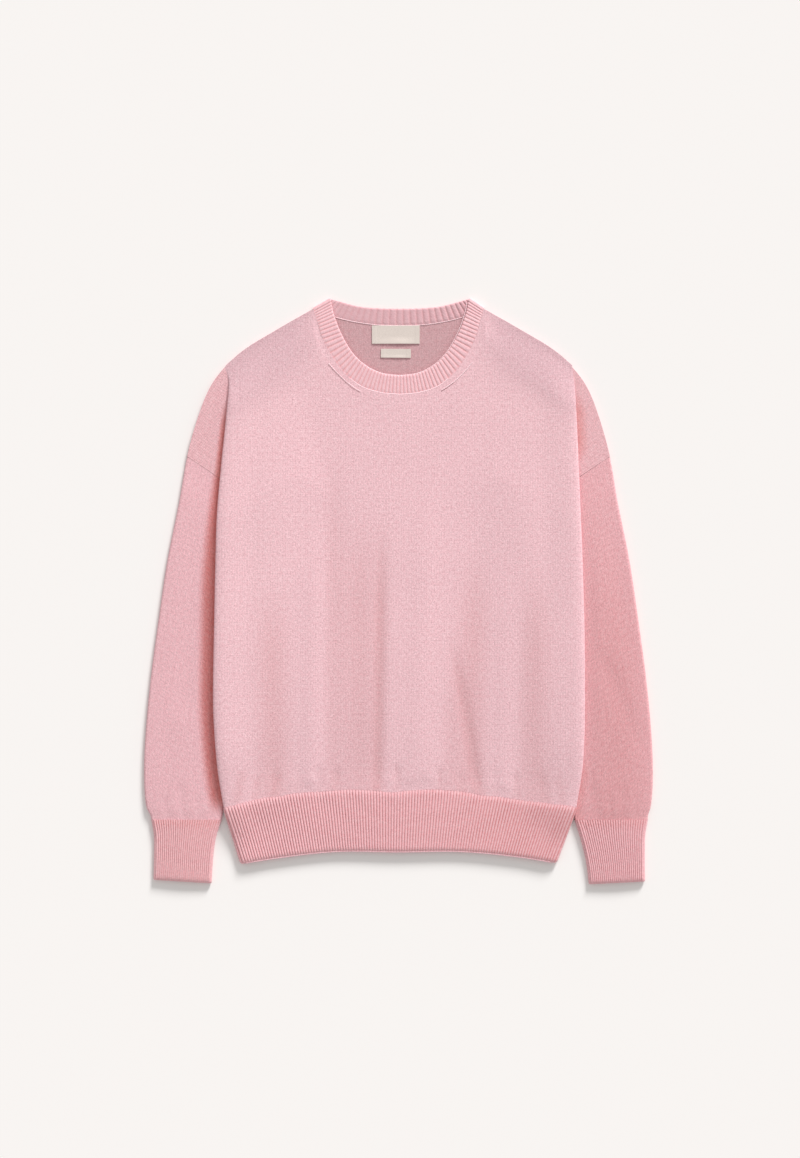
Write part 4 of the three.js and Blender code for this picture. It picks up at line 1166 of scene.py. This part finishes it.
def label_material():
    """Satin-woven label cloth: cream, with fine crossing ribs of thread."""
    material, tree, shader = new_material("label_cloth")
    shader.inputs["Roughness"].default_value = 0.75
    uv = uv_output(tree)
    place = parts(tree, uv)
    warp = maths(tree, "SINE", maths(tree, "MULTIPLY", place["X"], 2 * np.pi / (0.35 * MM)))
    weft = maths(tree, "SINE", maths(tree, "MULTIPLY", place["Y"], 2 * np.pi / (0.45 * MM)))
    weave = maths(tree, "MULTIPLY_ADD", maths(tree, "MULTIPLY", warp, weft), 0.5, 0.5)
    slub = noise(tree, uv, 500.0, 2.0)
    shade = tree.nodes.new("ShaderNodeHueSaturation")
    shade.inputs["Color"].default_value = linear(221, 208, 199)
    value = maths(tree, "MULTIPLY_ADD", weave, 0.06, maths(tree, "MULTIPLY_ADD", slub, 0.14, 0.9))
    tree.links.new(value, shade.inputs["Value"])
    tree.links.new(shade.outputs["Color"], shader.inputs["Base Color"])
    bump(tree, shader, weave, 0.4, 0.08 * MM)
    return material


LABEL = label_material()
LABEL_BASE = CLOTH + 0.3


def label_grid(middle, width, height, turn, lift, columns=60, rows=30):
    """A flat strip whose two ends are doubled and whose lower edge lifts in the middle."""
    u, v = np.linspace(-0.5, 0.5, columns + 1)[None], np.linspace(-0.5, 0.5, rows + 1)[:, None]
    x, y = u * width, v * height
    doubled = 0.18 * ease(np.abs(x), width / 2 - 5.2, width / 2 - 4.6)
    raised = lift * ease(-v, 0.1, 0.5) * np.cos(np.pi * u) * (1 + 0.25 * np.sin(9 * u))
    z = LABEL_BASE + 0.2 + doubled + raised + 0 * x
    return points(middle[0] + x * np.cos(turn) - y * np.sin(turn), middle[1] + x * np.sin(turn) + y * np.cos(turn), z)


labels = {}
for name, middle, width, height, turn, lift in (
    ("label_large", (-3.1, 297.4), 55, 21, 0.0, 0.7),
    ("label_small", (-3.0, 275.9), 34.6, 10.2, -0.009, 0.35),
):
    grid = label_grid(middle, width, height, turn, lift)
    labels[name] = cloth_wall(name, grid, cloth_uv(grid), LABEL, thickness=0.4)

# %% [markdown]
# ## Stitch lines
#
# The neckband is joined on with a chain of loops, which shows as a fine light line. The free edges of
# the neckband and of the hem show such a row too, and the shaping of the front neck leaves a short row
# of larger stitches on each side. A chain is a thin tube whose radius swells once for each stitch, by
# |sin(pi s / pitch)|, with s the distance along it.

# %% Make the stitch lines


def chain(name, path, pitch, radius, material, thin=0.5, height=0.8, around=6):
    """Tube along a smooth curve through a few points, thick in each stitch and thin between stitches."""
    path = np.asarray(path, float)
    rough = np.stack([along(path[:, k], np.linspace(0, 1, 400)) for k in range(3)], -1)
    walked = np.concatenate([[0], np.cumsum(np.linalg.norm(np.diff(rough, axis=0), axis=1))])
    count = int(walked[-1] / pitch) * 5 + 1
    s = np.linspace(0, walked[-1], count)
    middle = np.stack([np.interp(s, walked, rough[:, k]) for k in range(3)], -1)
    forward = np.gradient(middle, axis=0)
    forward /= np.linalg.norm(forward, axis=1, keepdims=True)
    side = np.cross(forward, (0, 0, 1))
    side /= np.linalg.norm(side, axis=1, keepdims=True)
    lift = np.cross(side, forward)
    size = radius * (thin + (1 - thin) * np.abs(np.sin(np.pi * s / pitch)))
    size[[0, -1]] = 0.02
    angle = 2 * np.pi * np.arange(around) / around
    ring = np.cos(angle)[None, :, None] * side[:, None] + height * np.sin(angle)[None, :, None] * lift[:, None]
    verts = (middle[:, None] + ring * size[:, None, None]).reshape(-1, 3)
    i, j = np.meshgrid(np.arange(count - 1), np.arange(around), indexing="ij")
    i, j = i.ravel(), j.ravel()
    quads = cells(lambda down, across: (i + down) * around + (j + across) % around)
    uv = cells(lambda down, across: np.stack([(j + across) / around * 2 * np.pi * radius, s[i + down]], -1)) * MM
    quads, uv, volume = outward(verts, quads, uv)
    piece = new_mesh(name, verts, quads, uv, material, np.zeros((len(verts), 3)))
    print(f"{name}: {count} rings, {volume:.0f} mm3 of yarn")
    return piece


def neck_line(table, row, level, reach):
    """Points along one edge of the neckband, from the left corner to the right corner."""
    size = np.linspace(-reach, reach, 25)
    x = along(table[row + "_x"], np.abs(size)) * np.sign(size)
    y = along(table[row + "_y"], np.abs(size))
    return points(x + NECK_X * (1 - np.abs(size)), y, level(np.abs(size)))


YARN = knit_material("pink_yarn", linear(251, 218, 223), wale=1.0, course=1.0, contrast=0.6, depth=0.1)
# Painted shade: a dark yarn for the shade in the small dents beside the neck marks.
SHADOW_YARN = knit_material("pink_yarn_shadow", linear(196, 142, 150), wale=1.0, course=1.0, contrast=0.6, depth=0.1)
TOP = CLOTH / 2
LEFT_MARK = [(-80.5, 264), (-72.5, 255.5), (-64.7, 247.6), (-57.5, 241.2), (-50.6, 235.9), (-43, 231.5)]
RIGHT_MARK = [(85.4, 265.8), (78.5, 257.3), (70.5, 249), (63.5, 242.8), (56.4, 237.6), (49, 233)]


def laid(path, shift, lift):
    """A path laid on the front, moved along Y and lifted off the cloth."""
    return [(x, y + shift, FRONT_LEVEL + TOP + lift) for x, y in path]


# The hem's row follows one in 24 points of its lower edge, lifted on to the ribs.
HEM_ROW_HALF, HEM_ROW_EVERY, HEM_ROW_LIFT = 176, 24, (0, 0.15, 0.8)
hem_edge = hem_points[-1][np.abs(hem_points[-1, :, 0]) < HEM_ROW_HALF]
hem_edge = hem_edge[hem_edge[:, 2] > FLOOR_LEVEL + CLOTH][::HEM_ROW_EVERY] + HEM_ROW_LIFT
chains = [
    chain("hem_edge_stitches", hem_edge, 2.2, 0.75, BAND, thin=0.7, height=0.6),
    chain("neck_seam_stitches", neck_line(NECK_FRONT, "seam", lambda size: front_level(size) + TOP + 0.3, 0.4), 2.2,
          0.6, YARN),
    chain("neck_edge_stitches", neck_line(NECK_FRONT, "free", lambda size: front_level(size) + 0.7, 0.96), 2.2, 0.5,
          YARN),
    chain("back_seam_stitches", neck_line(NECK_BACK, "seam", lambda size: FLOOR_LEVEL + TOP + 0.15 + 0 * size, 0.93),
          2.6, 0.55, YARN),
    chain("mark_left", laid(LEFT_MARK, 0, 0.45), 2.3, 0.75, YARN, thin=0.3, height=0.25),
    chain("mark_right", laid(RIGHT_MARK, 0, 0.3), 2.3, 0.75, YARN, thin=0.3, height=0.25),
    # These thinner dark chains are painted shade of the dents beside each mark.
    chain("mark_left_shadow", laid(LEFT_MARK[1:4], 1.0, 0.1), 2.3, 0.5, SHADOW_YARN, thin=0.1, height=0.4),
    chain("mark_right_shadow", laid(RIGHT_MARK[3:], -1.1, 0.1), 2.3, 0.5, SHADOW_YARN, thin=0.1, height=0.4),
]

# %% [markdown]
# ## Place in the frame
#
# Each piece moves with one body, and the solid in model.glb that it stands for is hidden. The table
# also names the cloth that each was cut from.

# %% Tie the pieces to the frame
PLACES = [
    (front, "front_panel", "knit"),
    (back, "back_panel", "knit"),
    (front_hem, "front_hem_rib", "rib"),
    (back_hem, "back_hem_rib", "rib"),
    (neckband, "neckband", "band"),
    (sleeves["left"], "left_sleeve", "knit"),
    (sleeves["right"], "right_sleeve", "knit"),
    (cuffs["left"], "left_cuff", "rib"),
    (cuffs["right"], "right_cuff", "rib"),
    (labels["label_large"], "neck_label", "label"),
    (labels["label_small"], "size_label", "label"),
]
for piece, node, slot in PLACES:
    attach(piece, "root")
    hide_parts(node)
for piece in chains:
    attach(piece, "root")


# %% [markdown]
# ## Floor, light and camera
#
# The photograph is a cut-out on warm white with faint shadows. A large matte floor, an even pale sky
# and one broad sun from the upper right give that. The camera looks straight down from nearly four
# metres, so the flat garment isn't distorted.

# %% Floor


def flat_material(name, colour):
    """A dull surface of one colour, without gloss."""
    material, _, shader = new_material(name)
    shader.inputs["Base Color"].default_value = colour
    shader.inputs["Roughness"].default_value = 0.95
    shader.inputs["Specular IOR Level"].default_value = 0.0
    return material


FLOOR_SIZE, FLOOR_DROP = 60000.0, 0.1
floor_corners = np.array([(-1, -1, 0), (1, -1, 0), (1, 1, 0), (-1, 1, 0)]) * FLOOR_SIZE / 2 - [0, 0, FLOOR_DROP]
floor_uv = np.array([[(0, 0), (1, 0), (1, 1), (0, 1)]], float)
floor = new_mesh("floor", floor_corners, np.array([[0, 1, 2, 3]]), floor_uv,
                 flat_material("floor_white", (0.93, 0.9, 0.88, 1)))

# %% Light
world = bpy.data.worlds.new("studio")
world.use_nodes = True
world.node_tree.nodes["Background"].inputs["Color"].default_value = (1, 0.995, 0.99, 1)
world.node_tree.nodes["Background"].inputs["Strength"].default_value = 0.59
bpy.context.scene.world = world
sun_data = bpy.data.lights.new("sun", "SUN")
sun_data.energy = 3.9
sun_data.angle = np.radians(15)
sun = bpy.data.objects.new("sun", sun_data)
SUN_TILT, SUN_TURN = np.radians(70), np.radians(-22)
sun.rotation_euler = (SUN_TILT, 0, SUN_TURN + np.pi)
bpy.context.scene.collection.objects.link(sun)

# %% Camera
IMAGE_PIXELS = (800, 1158)
MM_PER_PIXEL = 1.15
ORIGIN_PIXEL = (398.5, 593)
IMAGE_MIDDLE = ((IMAGE_PIXELS[0] / 2 - ORIGIN_PIXEL[0]) * MM_PER_PIXEL,
                (ORIGIN_PIXEL[1] - IMAGE_PIXELS[1] / 2) * MM_PER_PIXEL)
LENS, SENSOR = 100.0, 36.0
camera_data = bpy.data.cameras.new("camera")
camera_data.lens = LENS
camera_data.sensor_fit = "VERTICAL"
camera_data.sensor_height = SENSOR
camera = bpy.data.objects.new("camera", camera_data)
distance = IMAGE_PIXELS[1] * MM_PER_PIXEL * LENS / SENSOR
camera.location = (IMAGE_MIDDLE[0] * MM, IMAGE_MIDDLE[1] * MM, (distance + FRONT_LEVEL) * MM)
bpy.context.scene.collection.objects.link(camera)
bpy.context.scene.camera = camera
bpy.context.scene.view_settings.view_transform = "Standard"
